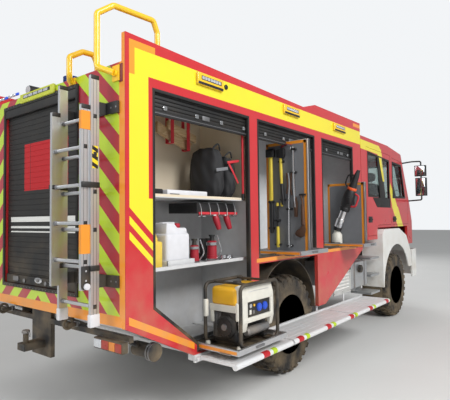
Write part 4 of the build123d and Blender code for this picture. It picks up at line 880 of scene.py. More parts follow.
# Upper shelf: flat light box and two dark ones
goods.block((0.7, 0.555, shelf_gap), (1.12, 1.08, shelf_gap + 0.07), can_white, 0.008)
goods.block((1.119, 0.585, shelf_gap + 0.03), (1.124, 0.7, shelf_gap + 0.036), black_plastic, 0.001, 1)
goods.block((0.72, 0.3, shelf_gap), (1.08, 0.545, shelf_gap + 0.075), engine_black, 0.01)
goods.block((0.66, 1.09, shelf_gap), (0.8, 1.18, shelf_gap + 0.1), engine_black, 0.01)
goods.make("truck", "mixed_goods", "locker_goods")

# %% [markdown]
# ## The tool board
# The second tray carries an upright grey board. Axes, bars and cutters hang on it in black clips, and each
# tool is a handle and a head. The board and its tape come with the tray's trim.

# %% Build the hand tools
handle_yellow = moulded("handle_yellow", rgb(226, 200, 66), 0.45, 400.0, 0.0003, 0.2)
rusty_brown = metal("rusty_brown", rgb(96, 70, 56), 0.6, (1.0, 1.0, 1.0), 0.5, 0.3, 0.5)
board_face = 2.379
tool_y = board_face - 0.024
tools = Form("hand_tools")


def clip(x, z, reach=0.03):
    """Black spring clip with its silver screw."""
    tools.block((x - 0.03, board_face - 0.012, z - 0.014), (x + 0.03, board_face, z + 0.014), engine_black)
    tools.block((x - 0.034, board_face - reach - 0.016, z - 0.01), (x - 0.026, board_face, z + 0.01),
                engine_black, 0.003)
    tools.block((x + 0.026, board_face - reach - 0.016, z - 0.01), (x + 0.034, board_face, z + 0.01),
                engine_black, 0.003)
    tools.rod((x, board_face - 0.02, z), (x, board_face - 0.008, z), 0.009, chrome, 12)


# Sledge hammer: broad yellow handle, black head at the top and black grip
tools.block((0.995, tool_y - 0.022, 1.98), (1.045, tool_y + 0.018, 2.53), handle_yellow, 0.018, 3)
tools.block((0.965, tool_y - 0.035, 2.5), (1.075, tool_y + 0.024, 2.6), engine_black, 0.014, 3)
tools.block((1.0, tool_y - 0.018, 1.6), (1.042, tool_y + 0.016, 1.985), engine_black, 0.015, 3)
clip(1.02, 1.97)
clip(1.02, 1.66)
# Axe with a black head, yellow handle and black grip
tools.plate("y", [(1.11, 2.49), (1.195, 2.47), (1.215, 2.51), (1.215, 2.58), (1.195, 2.6), (1.11, 2.58)],
            tool_y - 0.024, tool_y + 0.02, engine_black, 0.006)
tools.turned((1.165, tool_y, 2.18), (1.155, tool_y, 2.49), [(0, 0.016), (0.5, 0.019), (1, 0.017)],
             handle_yellow, 14)
tools.turned((1.185, tool_y, 1.93), (1.165, tool_y, 2.18),
             [(0, 0.02), (0.1, 0.022), (0.9, 0.018), (1, 0.017)], engine_black, 14)
clip(1.165, 2.44)
clip(1.18, 1.99)
# Short crowbar and cutter with yellow grips below
tools.turned((1.105, tool_y, 1.44), (1.105, tool_y, 1.68),
             [(0, 0.017), (0.1, 0.02), (0.9, 0.018), (1, 0.015)], handle_yellow, 14)
tools.turned((1.105, tool_y, 1.68), (1.105, tool_y, 1.92), [(0, 0.012), (1, 0.012)], engine_black, 12)
tools.turned((1.105, tool_y, 1.92), (1.105, tool_y, 1.96), [(0, 0.02), (1, 0.014)], handle_yellow, 12)
tools.turned((1.165, tool_y, 1.915), (1.165, tool_y, 1.955), [(0, 0.014), (1, 0.018)], handle_yellow, 12)
clip(1.105, 1.75)
clip(1.105, 1.47)
# Two long bright bars
tools.pipe([(1.255, tool_y, 1.44), (1.262, tool_y, 2.0), (1.275, tool_y, 2.18), (1.262, tool_y, 2.3)], 0.01,
           chrome, 0.2, 8)
tools.pipe([(1.345, tool_y, 1.9), (1.325, tool_y, 2.2), (1.325, tool_y, 2.6)], 0.012, chrome, 0.3, 8)
tools.block((1.3, tool_y - 0.014, 2.555), (1.362, tool_y + 0.02, 2.58), engine_black)
tools.block((1.29, tool_y - 0.014, 2.555), (1.304, tool_y + 0.014, 2.6), chrome)
clip(1.262, 1.88)
clip(1.262, 1.46)
clip(1.328, 2.3)
# Bolt cutters: brown arms that cross
tools.pipe([(1.235, tool_y, 2.3), (1.25, tool_y, 2.16), (1.23, tool_y, 2.06)], 0.01, rusty_brown, 0.08, 8)
tools.pipe([(1.3, tool_y, 2.3), (1.28, tool_y, 2.14), (1.3, tool_y, 2.04)], 0.01, rusty_brown, 0.08, 8)
tools.plate("y", [(1.33, 1.79), (1.365, 1.79), (1.372, 1.95), (1.35, 2.02), (1.325, 1.95)], tool_y - 0.01,
            tool_y + 0.012, rusty_brown)
# Brown shovel blade with a long neck, hung from a black clip
tools.plate("y", [(1.33, 1.6), (1.352, 1.572), (1.405, 1.555), (1.452, 1.572), (1.47, 1.63), (1.462, 1.7),
                  (1.425, 1.72), (1.425, 1.7), (1.4, 1.66), (1.36, 1.64)], tool_y - 0.008, tool_y + 0.006,
            rusty_brown, 0.004)
tools.turned((1.44, tool_y, 1.7), (1.432, tool_y, 1.93), [(0, 0.024), (0.5, 0.022), (1, 0.016)],
             rusty_brown, 14)
tools.block((1.395, tool_y - 0.01, 2.03), (1.47, tool_y + 0.022, 2.05), engine_black)
tools.rod((1.4, tool_y, 2.04), (1.4, board_face, 2.04), 0.012, chrome, 12)
tools.pipe([(1.415, tool_y, 2.03), (1.43, tool_y, 1.98), (1.435, tool_y, 1.92)], 0.012, rusty_brown, 0.03,
           8)
# Red strap at the top
tools.pipe([(1.165, tool_y, 2.605), (1.235, tool_y, 2.64), (1.3, tool_y, 2.625)], 0.004, cap_red, 0.04, 6,
           width=0.016)
tools.make("tray_tools", "tool_steel", "hand_tools")

# %% [markdown]
# ## The rescue tool on the third tray
# A black hydraulic tool with an orange collar leans out of the locker. Its parts are turned bodies on one
# slanted line, so they all come from the same two end points.

# %% Build the rescue tool
collar_orange = moulded("collar_orange", rgb(232, 96, 40), 0.45, 400.0, 0.0003, 0.2)
rescue = Form("rescue_tool")
tool_middle_y = 3.85
tool_low = Vector((1.18, tool_middle_y, 1.64))
tool_high = Vector((1.5, tool_middle_y, 2.43))


def along(share, out=0.0):
    """A point on the tool's own line, moved outwards square to it."""
    line = (tool_high - tool_low).normalized()
    out_way = Vector((line.z, 0, -line.x))
    return tool_low.lerp(tool_high, share) + out_way * out


rescue.turned(along(0.0), along(0.3), [(0, 0.052), (0.04, 0.06), (0.5, 0.06), (0.52, 0.05), (0.94, 0.05),
                                       (1, 0.058)], chrome, 28)
rescue.turned(along(0.29), along(0.36), [(0, 0.064), (0.2, 0.07), (0.8, 0.07), (1, 0.064)], engine_black,
              28)
rescue.turned(along(0.36), along(0.66), [(0, 0.062), (0.1, 0.076), (0.5, 0.08), (0.9, 0.072), (1, 0.058)],
              engine_black, 28)
rescue.turned(along(0.655), along(0.7), [(0, 0.06), (0.2, 0.066), (0.8, 0.066), (1, 0.06)], collar_orange,
              28)
rescue.turned(along(0.7), along(0.84), [(0, 0.056), (0.5, 0.05), (1, 0.04)], engine_black)
for way in (1, -1):
    low, high = along(0.8), along(1.0)
    lean = Vector((0, way * 0.03, 0))
    rescue.turned(low + lean * 0.6, high + lean, [(0, 0.034), (0.4, 0.032), (1, 0.012)], engine_black, 10)
rescue.pipe([along(0.4, 0.07), along(0.42, 0.135), along(0.6, 0.135), along(0.62, 0.065)], 0.013, strap_red,
            0.04)
rescue.pipe([along(0.68, -0.06), along(0.72, -0.12), along(0.88, -0.12), along(0.9, -0.045)], 0.011,
            engine_black, 0.04)
rescue.block(along(0.47, 0.02) + Vector((-0.012, -0.085, -0.05)), along(0.47, 0.02)
             + Vector((0.05, 0.085, 0.05)), engine_black, 0.012)
# Cream container and clamp at its foot
foot_z = 1.383
rescue.turned((1.16, tool_middle_y, foot_z), (1.16, tool_middle_y, 1.6),
              [(0, 0.066), (0.05, 0.072), (0.7, 0.07), (0.82, 0.05), (0.9, 0.04), (1, 0.042)], cream)
rescue.turned((1.16, tool_middle_y, 1.595), (1.176, tool_middle_y, 1.642), [(0, 0.056), (1, 0.06)],
              engine_black)
rescue.block((1.095, 3.775, foot_z), (1.225, 3.925, foot_z + 0.045), engine_black, 0.008)
rescue.make("tray_rescue", "rescue_tool", "rescue_tool")

# %% [markdown]
# ## Tape, lips and latches on the trays
# The trays are folded sheet with a bright lip. Amber tape marks their rear edge, and the boards have the
# same tape round their edges, with a bare aluminium channel outside.

# %% Trim the trays and boards
tape_amber = Finish("tape_amber", coat_weight=0.5)
weave = (abs(tape_amber.axes()[0] * 180.0 % 1.0 - 0.5)) * 2.0
tape_amber.vary("Base Color", tape_amber.mix(weave * 0.35, rgb(238, 152, 44), rgb(206, 122, 30)))
tape_amber.vary("Roughness", 0.32 + 0.1 * weave)
board_grey = moulded("board_grey", rgb(122, 124, 128), 0.5, 400.0, 0.0002, 0.2)

for name, y0, y1, outer, low, board_y, board_top in (
        ("tray_generator", 0.8, 1.57, 1.68, 0.6543, None, None),
        ("tray_tools", 2.08, 2.72, 1.56, 1.3743, 2.39, 2.67),
        ("tray_rescue", 3.72, 4.18, 1.6, 1.3743, 3.96, 2.27)):
    inner = outer - 0.63
    trim = Form(name + "_trim")
    trim.block((inner + 0.02, y0 - 0.0015, low + 0.008), (outer - 0.02, y0 - 0.0001, low + 0.034),
               tape_amber, 0.0004, 1)
    trim.block((inner + 0.03, y0 + 0.035, low + 0.046), (inner + 0.06, y0 + 0.065, low + 0.052), worn_steel,
               0.003)
    trim.rod((outer - 0.2, y0 - 0.006, low), (outer - 0.08, y0 - 0.006, low), 0.006, worn_steel, 8)
    trim.block((outer - 0.012, y0 + 0.25, low + 0.012), (outer + 0.01, y0 + 0.37, low + 0.034), worn_steel)
    if board_y:
        face_low, face_high = board_y - 0.0115, board_y + 0.0115
        left, right = inner + 0.012, outer - 0.052
        trim.block((left + 0.02, face_low, low + 0.02), (right - 0.03, face_high, board_top - 0.02),
                   board_grey, 0.001, 1)
        for a, b in ((face_low - 0.0008, face_low), (face_high, face_high + 0.0008)):
            trim.block((left, a, low + 0.02), (left + 0.03, b, board_top - 0.002), tape_amber, 0.0002, 1)
            trim.block((right - 0.06, a, low + 0.02), (right - 0.026, b, board_top - 0.002), tape_amber,
                       0.0002, 1)
            trim.block((left, a, board_top - 0.036), (right - 0.026, b, board_top - 0.002), tape_amber,
                       0.0002, 1)
        trim.block((right - 0.022, board_y - 0.02, low + 0.046), (right + 0.002, board_y + 0.02, board_top),
                   aluminium, 0.003)
        trim.block((inner + 0.012, board_y - 0.013, board_top - 0.003),
                   (right, board_y + 0.013, board_top + 0.004), aluminium, 0.002)
    trim.make(name, "aluminium")

# %% [markdown]
# ## Gear on the roof
# Over the rear edge the photograph shows black lamp heads on a yellow bracket, a ribbed blue hose roll and
# yellow rails. The long equipment box on the right of the deck is plain aluminium with ribs and latches.
# Heights are from the deck.

# %% Build the roof gear
hose_blue = moulded("hose_blue", rgb(44, 78, 150), 0.6, 120.0, 0.0008, 0.2)
deck = 2.98
roof_gear = Form("roof_load", deck)
# Mast base with two lamp heads
mast_y = 0.53
roof_gear.block((-0.995, 0.425, 0), (-0.155, 0.635, 0.055), engine_black, 0.01)
for x0, x1 in ((-1.045, -0.77), (-0.755, -0.485)):
    roof_gear.block((x0, 0.47, 0.065), (x1, 0.615, 0.225), engine_black, 0.012, 3)
    roof_gear.block((x0 + 0.012, 0.442, 0.075), (x1 - 0.012, 0.472, 0.215), engine_black, 0.01)
    roof_gear.block((x0 + 0.025, 0.438, 0.088), (x1 - 0.025, 0.446, 0.202), lamp_lens, 0.006)
    for i in range(6):
        z = 0.085 + i * 0.022
        roof_gear.block((x0 + 0.01, 0.612, z), (x1 - 0.01, 0.622, z + 0.01), engine_black, 0.002, 1)
roof_gear.pipe([(-1.0, mast_y, 0.05), (-1.0, mast_y, 0.27), (-0.55, mast_y, 0.27), (-0.55, mast_y, 0.05)],
               0.014, yellow_paint, 0.04)
roof_gear.rod((-0.98, 0.405, 0.29), (-0.98, 0.655, 0.29), 0.055, engine_black, 24, 0.015)
roof_gear.rod((-0.98, 0.402, 0.29), (-0.98, 0.412, 0.29), 0.046, lamp_lens, 24, 0.002)
# Ribbed blue roll on a stem
roof_gear.rod((-0.3, mast_y, 0.055), (-0.3, mast_y, 0.075), 0.07, engine_black, 28, 0.004)
ribs = [(0, 0.05)]
for i in range(14):
    share = (i + 0.5) / 14
    ribs += [(share - 0.03, 0.072), (share - 0.012, 0.084), (share + 0.012, 0.084), (share + 0.03, 0.072)]
roof_gear.turned((-0.3, mast_y, 0.07), (-0.3, mast_y, 0.322), ribs + [(1, 0.05)], hose_blue, 32)
roof_gear.rod((-0.3, mast_y, 0.32), (-0.3, mast_y, 0.33), 0.04, engine_black, 20, 0.003)
# Small box behind the mast
roof_gear.block((-0.948, 0.252, 0), (-0.502, 0.378, 0.116), yellow_paint, 0.014, 3)
roof_gear.block((-0.8, 0.246, 0.05), (-0.64, 0.254, 0.08), engine_black)
# Long equipment box
roof_gear.block((0.155, 1.205, 0), (0.895, 3.595, 0.205), aluminium, 0.008)
roof_gear.block((0.15, 1.2, 0.2), (0.9, 3.6, 0.2399), aluminium, 0.01)
for i in range(9):
    y = 1.33 + i * 0.27
    roof_gear.block((0.148 if i % 4 else 0.1505, y, 0.02), (0.158, y + 0.03, 0.19), aluminium, 0.003)
    roof_gear.block((0.892, y, 0.02), (0.8995, y + 0.03, 0.19), aluminium, 0.003)
for y in (1.6, 2.4, 3.2):
    roof_gear.block((0.895, y, 0.15), (0.8999, y + 0.09, 0.22), worn_steel, 0.002)
roof_gear.make("truck", "mixed_goods", "roof_load")

# %% [markdown]
# ## Blue light bar
# The bar on the cab's roof is a long lens on a black base, with black dividers and rounded ends.

# %% Build the light bar
beacon = Form("light_bar")
ends = [(0.63 + 0.12 * cos(i * pi / 12), 0.03 + 0.12 * sin(i * pi / 12)) for i in range(7)]
half_outline = ends + [(-x, y) for x, y in reversed(ends)]
outline = half_outline + [(-x, -y) for x, y in half_outline]
centre_y = 5.85
shifted = [(x * 0.998, centre_y + y * 0.99) for x, y in outline]
slimmer = [(x * 0.985, centre_y + y * 0.93) for x, y in outline]
beacon.plate("z", shifted, 3.086, 3.112, black_plastic, 0.004)
beacon.plate("z", slimmer, 3.112, 3.185, blue_lens, 0.012)
beacon.plate("z", [(x * 0.96, centre_y + (y - centre_y) * 0.86) for x, y in slimmer], 3.184, 3.194,
             blue_lens, 0.004)
for x in (-0.45, 0.0, 0.45):
    beacon.block((x - 0.012, centre_y - 0.141, 3.112), (x + 0.012, centre_y + 0.141, 3.19), black_plastic)
for x in (-0.45, 0.45):
    beacon.block((x - 0.058, 5.782, 3.066), (x + 0.058, 5.918, 3.088), black_plastic)
beacon.make("cab", "blue_lens", "light_bar")

# %% [markdown]
# ## The rear shutter and what is round it
# The rear shutter has a black header and a bottom bar with an oval silver latch. Above it sits one scene
# lamp, and over that a row of small marker lamps. The tail lamps sit low on the body, each a row of lenses
# in a black housing.

# %% Shutter header, bottom bar and latch
dark_red = moulded("dark_red", rgb(120, 22, 30), 0.4, 400.0, 0.0002, 0.3)
lamp_green = moulded("lamp_green", rgb(206, 214, 70), 0.35, 400.0, 0.0002, 0.2)
tail_red = moulded("tail_red", rgb(168, 22, 26), 0.2, 240.0, 0.0005, 0.6)
rear = Form("rear_trim")
rear.block((-0.618, -0.012, 2.806), (0.618, 0.024, 2.888), black_plastic, 0.01, 3)
rear.block((-0.6, 0.004, 1.178), (0.6, 0.027, 1.262), black_plastic, 0.008, 3)
latch_outline = [(0.013 + 0.066 * cos(a), 1.236 + 0.026 * sin(a)) for a in [i * pi / 12 for i in range(24)]]
rear.plate("y", latch_outline, -0.003, 0.006, chrome, 0.002)
rear.rod((0.013, -0.014, 1.236), (0.013, 0.004, 1.236), 0.017, worn_steel, 20)
for x in (-0.24, 0.138):
    rear.rod((x, -0.008, 1.216), (x, 0.006, 1.216), 0.02, worn_steel, 20)
for x in (-0.4, 0.4):
    rear.block((x - 0.05, -0.006, 1.205), (x + 0.05, 0.006, 1.25), worn_steel)
for i in range(23):
    x = -0.61 + i * 0.0555
    for z in (1.161, 2.904):
        rear.rod((x, -0.0165, z), (x, -0.0135, z), 0.0045, worn_steel, 8)

# %% Rear scene lamp, marker lamps and tags
rear.block((-0.295, -0.03, 2.905), (0.295, 0.001, 2.99), lamp_green, 0.008, 3)
rear.block((-0.225, -0.033, 2.94), (0.245, -0.028, 2.972), black_plastic, 0.003)
for i in range(5):
    a = -0.215 + i * 0.088
    rear.block((a, -0.0345, 2.944), (a + 0.074, -0.0325, 2.968), lamp_lens, 0.001, 1)
for i in range(9):
    x = -1.02 + i * 0.075
    rear.block((x, -0.012, 3.01), (x + 0.056, 0.001, 3.036), blue_lens if i % 3 == 2 else lamp_lens, 0.003)
rear.block((1.18, -0.006, 2.822), (1.221, 0.0005, 2.963), dark_red, 0.002)
rear.block((-1.221, -0.006, 2.822), (-1.18, 0.0005, 2.963), dark_red, 0.002)

# %% Tail lamps on their housings
for side_sign in (1, -1):
    for start, end, glass_finish in ((0.895, 0.985, lamp_lens), (0.99, 1.075, tail_red),
                                     (1.08, 1.15, label_orange), (1.155, 1.225, tail_red)):
        rear.block((side_sign * start, -0.028, 0.798), (side_sign * end, -0.019, 0.862), glass_finish,
                   0.004, 3)
    rear.block((side_sign * 0.886, -0.022, 0.788), (side_sign * 1.234, 0.038, 0.872), black_plastic, 0.006)
rear.make("truck", "mixed_goods")

# %% [markdown]
# ## The ladder's fittings
# The ladder is two straight sections of box rail. Black caps close the rails, square plugs show where the
# rungs run through, and bands of tape mark the upper section. Rollers at its foot let it slide in the
# lower one.

# %% Dress the ladder
tag_yellow = Finish("tag_yellow")
x, y, z = tag_yellow.axes()
tag_stripe = ((z + 0.5 * y) % 0.062) < 0.031
tag_yellow.vary("Base Color", tag_yellow.mix(tag_stripe, rgb(236, 206, 40), rgb(26, 26, 26)))
tag_yellow.vary("Roughness", 0.35 + 0.1 * tag_yellow.noise(200.0))
ladder_x, base_half, fly_half, stile = 0.825, 0.225, 0.212, 0.026
base_rungs = [1.135 + 0.285 * i for i in range(6)]
fly_rungs = [1.47 + 0.285 * i for i in range(4)]
fittings = Form("ladder_fittings")
sections = ((base_half, -0.162, -0.088, 0.985, 2.87, base_rungs),
            (fly_half, -0.236, -0.162, 1.265, 2.635, fly_rungs))
for half, rear_side, front_side, low, high, rungs in sections:
    for way in (1, -1):
        outer = ladder_x + way * half
        middle = (rear_side + front_side) / 2
        fittings.block((outer + way * 0.002, rear_side + 0.0002, high - 0.03),
                       (outer - way * (stile + 0.002), front_side + 0.001, high + 0.006), black_plastic)
        for z in rungs:
            fittings.block((outer - way * 0.004, middle - 0.016, z - 0.016),
                           (outer + way * 0.0025, middle + 0.016, z + 0.016), black_plastic, 0.002)
            a, b = sorted((outer - way * 0.028, outer - way * 0.058))
            fittings.turned((a, middle, z), (b, middle, z), [(0, 0.019), (0.3, 0.0185), (1, 0.0165)],
                            worn_steel, 18)
        for groove in (0.3, 0.7):
            y0 = rear_side + (front_side - rear_side) * groove
            fittings.block((outer - way * 0.001, y0 - 0.0025, low + 0.02),
                           (outer + way * 0.0008, y0 + 0.0025, high - 0.032), worn_steel, 0.0004, 1)
# Tape, tag, clamps, feet and the rollers
outer = ladder_x + fly_half
for low, high in ((2.452, 2.592), (1.53, 1.745)):
    fittings.block((outer - stile - 0.0015, -0.2363, low), (outer + 0.0035, -0.1605, high), tape_amber,
                   0.001, 1)
fittings.block((ladder_x + base_half + 0.0002, -0.15, 2.165), (ladder_x + base_half + 0.002, -0.1, 2.335),
               tag_yellow, 0.0005, 1)
roller_y = -0.199
for way in (1, -1):
    clamp = ladder_x + way * base_half
    inside, outside = clamp - way * 0.04, clamp + way * 0.01
    fittings.block((inside, -0.2358, 2.02), (outside, -0.086, 2.062), black_plastic, 0.006)
    fittings.block((inside, -0.17, 1.398), (outside, -0.086, 1.44), black_plastic, 0.006)
    fittings.block((inside + way * 0.002, -0.166, 0.986), (outside - way * 0.002, -0.084, 1.08), can_white,
                   0.008, 3)
    inner = ladder_x + way * (fly_half + 0.002)
    a, b = sorted((inner, inner + way * 0.008))
    round_plate = [(roller_y + 0.036 * cos(t), 1.3 + 0.036 * sin(t))
                   for t in [pi + i * pi / 10 for i in range(11)]]
    fittings.plate("x", round_plate + [(-0.163, 1.44), (-0.235, 1.44)], a, b, black_plastic, 0.002)
    for z in (1.335, 1.405):
        fittings.rod((a - 0.003, roller_y, z), (b + 0.003, roller_y, z), 0.009, chrome, 12)
    fittings.rod((inner + way * 0.01, roller_y, 1.292), (inner + way * 0.032, roller_y, 1.292), 0.024,
                 can_white, 24, 0.004)
for x, z in ((1.105, 2.635), (1.165, 2.635), (1.105, 1.315), (1.165, 1.315)):
    fittings.rod((x, -0.022, z), (x, -0.015, z), 0.01, worn_steel, 12)
fittings.make("truck", "black_plastic")

# %% [markdown]
# ## Towing gear
# Under the rear edge hang two bright shackles, the hook with its pin, and a hose coupling. The coupling's
# ring has three lugs that lock with those of a hose, and a blank cap closes it.

# %% Hose coupling and pins
coupling_y, coupling_z = 0.3, 0.735
pin_y = -0.105
coupling = Form("rear_coupling")
coupling.turned((1.188, coupling_y, coupling_z), (1.2385, coupling_y, coupling_z),
                [(0, 0.064), (0.1, 0.073), (0.35, 0.073), (0.42, 0.066), (0.6, 0.066), (0.65, 0.0725),
                 (0.95, 0.0725), (1, 0.068)], worn_steel, 32)
for degrees in (30, 150, 270):
    turn_there = turn_about("X", degrees)
    coupling.block((1.205, 0.288, 0.796), (1.235, 0.312, 0.8075), worn_steel, 0.003, 2, turn_there,
                   Vector((1.2, coupling_y, coupling_z)))
coupling.turned((1.236, coupling_y, coupling_z), (1.2395, coupling_y, coupling_z),
                [(0, 0.03), (0.6, 0.028), (1, 0.02)], black_plastic)
coupling.turned((0.0, pin_y, 0.779), (0.0, pin_y, 0.812),
                [(0, 0.024), (0.3, 0.034), (0.8, 0.034), (1, 0.028)], worn_steel)
coupling.pipe([(0.028, pin_y, 0.8), (0.07, pin_y, 0.8), (0.07, pin_y, 0.76)], 0.005, worn_steel, 0.015,
              8)
for x in (-0.56, 0.56):
    coupling.block((x - 0.024, 0.03, 0.892), (x + 0.024, 0.06, 0.936), worn_steel)
coupling.make("truck", "tool_steel")

# %% [markdown]
# ## Outlines that follow an opening
# Rubber seals, tape and door frames all run round an opening at an even width. A band is the strip between
# an outline and the same outline moved inwards, so each corner is mitred, as it is on a real frame.

# %% A band round an outline
def moved_outline(outline, distance):
    """The outline with each edge moved inwards. Its corners run anticlockwise."""
    count = len(outline)
    ways = []
    for i in range(count):
        (u0, v0), (u1, v1) = outline[i], outline[(i + 1) % count]
        length = ((u1 - u0) ** 2 + (v1 - v0) ** 2) ** 0.5
        ways.append(((u1 - u0) / length, (v1 - v0) / length))
    moved = []
    for i in range(count):
        (ax, ay), (bx, by) = ways[i - 1], ways[i]
        share = distance / (1 + ax * bx + ay * by)
        moved.append((outline[i][0] - (ay + by) * share, outline[i][1] + (ax + bx) * share))
    return moved


def add_band(form, axis, outline, width, start, end, finish, round_off=0.003):
    """A mitred strip of an even width along the inside of an outline."""
    inner = moved_outline(outline, width)
    count = len(outline)
    for i in range(count):
        j = (i + 1) % count
        form.plate(axis, [outline[i], outline[j], inner[j], inner[i]], start, end, finish, round_off)


# %% [markdown]
# ## Locker openings on the right side
# Each open locker shows a black frame, the rolled-up shutter's last ribs as a dark header, and silver
# latches on its bottom bar.

# %% Frames and shutter headers
skin_x = 1.205
frame_gap = 0.0003
sill_z, head_z = 1.362, 2.83
lockers = (
    ([(0.27, 1.075), (0.77, 0.69), (0.77, 0.645), (1.6, 0.645), (1.6, head_z), (0.27, head_z)],
     (0.429, 0.819, 1.168, 1.53)),
    ([(1.74, sill_z), (3.04, sill_z), (3.04, head_z), (1.74, head_z)], (1.926, 2.309, 2.76)),
    ([(3.23, sill_z), (4.26, sill_z), (4.26, head_z), (3.23, head_z)], (3.42, 3.79, 4.12)),
)
opening_trim = Form("locker_frames")
for outline, latches in lockers:
    add_band(opening_trim, "x", moved_outline(outline, frame_gap), 0.026, skin_x + 0.003, 1.2525,
             black_plastic, 0.003)
    y0, y1 = outline[-1][0] + 0.028, outline[-2][0] - 0.028
    for i in range(5):
        z = 2.66 + i * 0.034
        opening_trim.block((skin_x, y0, z), (skin_x + 0.0135 + 0.002 * (i % 2), y1, z + 0.031),
                           black_plastic, 0.006)
    opening_trim.block((skin_x, y0, 2.622), (skin_x + 0.022, y1, 2.66), engine_black, 0.006)
    opening_trim.block((skin_x + 0.02, y0, 2.64), (skin_x + 0.024, y1, 2.646), worn_steel, 0.001, 1)
    for y in latches:
        opening_trim.block((skin_x + 0.012, y - 0.022, 2.676), (skin_x + 0.03, y + 0.022, 2.712), chrome,
                           0.005)
        opening_trim.rod((skin_x + 0.028, y, 2.694), (skin_x + 0.036, y, 2.694), 0.009, worn_steel, 14)
    middle = (latches[1] + latches[2]) / 2 - 0.045
    opening_trim.block((skin_x + 0.012, middle - 0.05, 2.674), (skin_x + 0.024, middle + 0.05, 2.716),
                       worn_steel)
opening_trim.make("truck", "black_shutter")

# %% [markdown]
# ## Scene lamps over the lockers
# The lamps are long flush boxes on the yellow band. Each has a yellow housing, a black slot with its row of
# lenses and a dark lower edge. A small round sensor sits beside the first one.

# %% Scene lamps, both sides
lens_count = 7
scene_lamps = Form("scene_lamps")
for y0, y1 in ((0.79, 1.15), (2.27, 2.62), (3.6, 3.96)):
    for way in (1, -1):
        scene_lamps.block((way * 1.2503, y0 - 0.004, 2.981), (way * 1.2775, y1 + 0.004, 3.089),
                          yellow_paint, 0.009, 3)
        scene_lamps.block((way * 1.27, y0 + 0.045, 3.026), (way * 1.2805, y1 - 0.03, 3.066), black_plastic)
        scene_lamps.block((way * 1.27, y0 + 0.004, 2.984), (way * 1.2805, y1 - 0.004, 3.008), engine_black)
        pitch = (y1 - y0 - 0.09) / lens_count
        for i in range(lens_count):
            y = y0 + 0.052 + i * pitch
            scene_lamps.block((way * 1.278, y, 3.032), (way * 1.282, y + pitch * 0.84, 3.06), lamp_lens,
                              0.001, 1)
for way in (1, -1):
    scene_lamps.turned((way * 1.25, 1.216, 3.045), (way * 1.268, 1.216, 3.045),
                       [(0, 0.024), (0.5, 0.024), (1, 0.014)], black_plastic)
scene_lamps.make("truck", "lamp_lens")

# %% [markdown]
# ## Boxes and caps below the lockers
# The silver tank behind the cab is held by straps and has a black filler cap. A white plate closes the
# space behind it, with its screws showing, and rubber flaps hang behind the wheels.

# %% Tank straps, plate screws and mud flaps
low_trim = Form("lower_trim")
for y in (4.33, 4.72):
    low_trim.block((0.434, y, 0.716), (1.194, y + 0.045, 0.722), worn_steel, 0.002, 1)
    low_trim.block((1.188, y, 0.716), (1.195, y + 0.045, 1.098), worn_steel, 0.002, 1)
    low_trim.block((0.434, y, 1.093), (1.195, y + 0.045, 1.1), worn_steel, 0.002, 1)
low_trim.turned((1.188, 4.54, 0.99), (1.236, 4.54, 0.99),
                [(0, 0.052), (0.2, 0.06), (0.9, 0.058), (1, 0.048)], black_plastic, 28)
low_trim.block((1.23, 4.5, 0.984), (1.24, 4.58, 0.996), black_plastic)
for y in (3.625, 3.89, 4.155):
    for z in (0.725, 0.985):
        low_trim.rod((1.204, y, z), (1.208, y, z), 0.009, worn_steel, 12)
for i in range(5):
    low_trim.block((1.2048, 3.66, 0.765 + i * 0.045), (1.2075, 4.12, 0.785 + i * 0.045), white_paint, 0.001,
                   1)
for side_sign in (1, -1):
    low_trim.block((side_sign * 0.88, 1.79, 0.4), (side_sign * 1.225, 1.798, 0.64), tread_rubber, 0.003)
    low_trim.block((side_sign * 0.88, 5.425, 0.36), (side_sign * 1.225, 5.433, 0.62), tread_rubber, 0.003)
    for i in range(4):
        x = side_sign * (0.92 + i * 0.088)
        low_trim.rod((x, 1.799, 0.615), (x, 1.803, 0.615), 0.01, worn_steel, 10)
low_trim.make("truck", "black_steel")

# %% [markdown]
# ## Windows, pillars and handles of the doors
# Black rubber runs round each pane. On the crew door a slanted pillar splits the window in two, and a black
# panel closes its lower step. Handles are black bars in shallow black dishes. Each door's pieces ride on
# that door, and its x values are measured from the middle, out to the door's skin at 1.2 m.

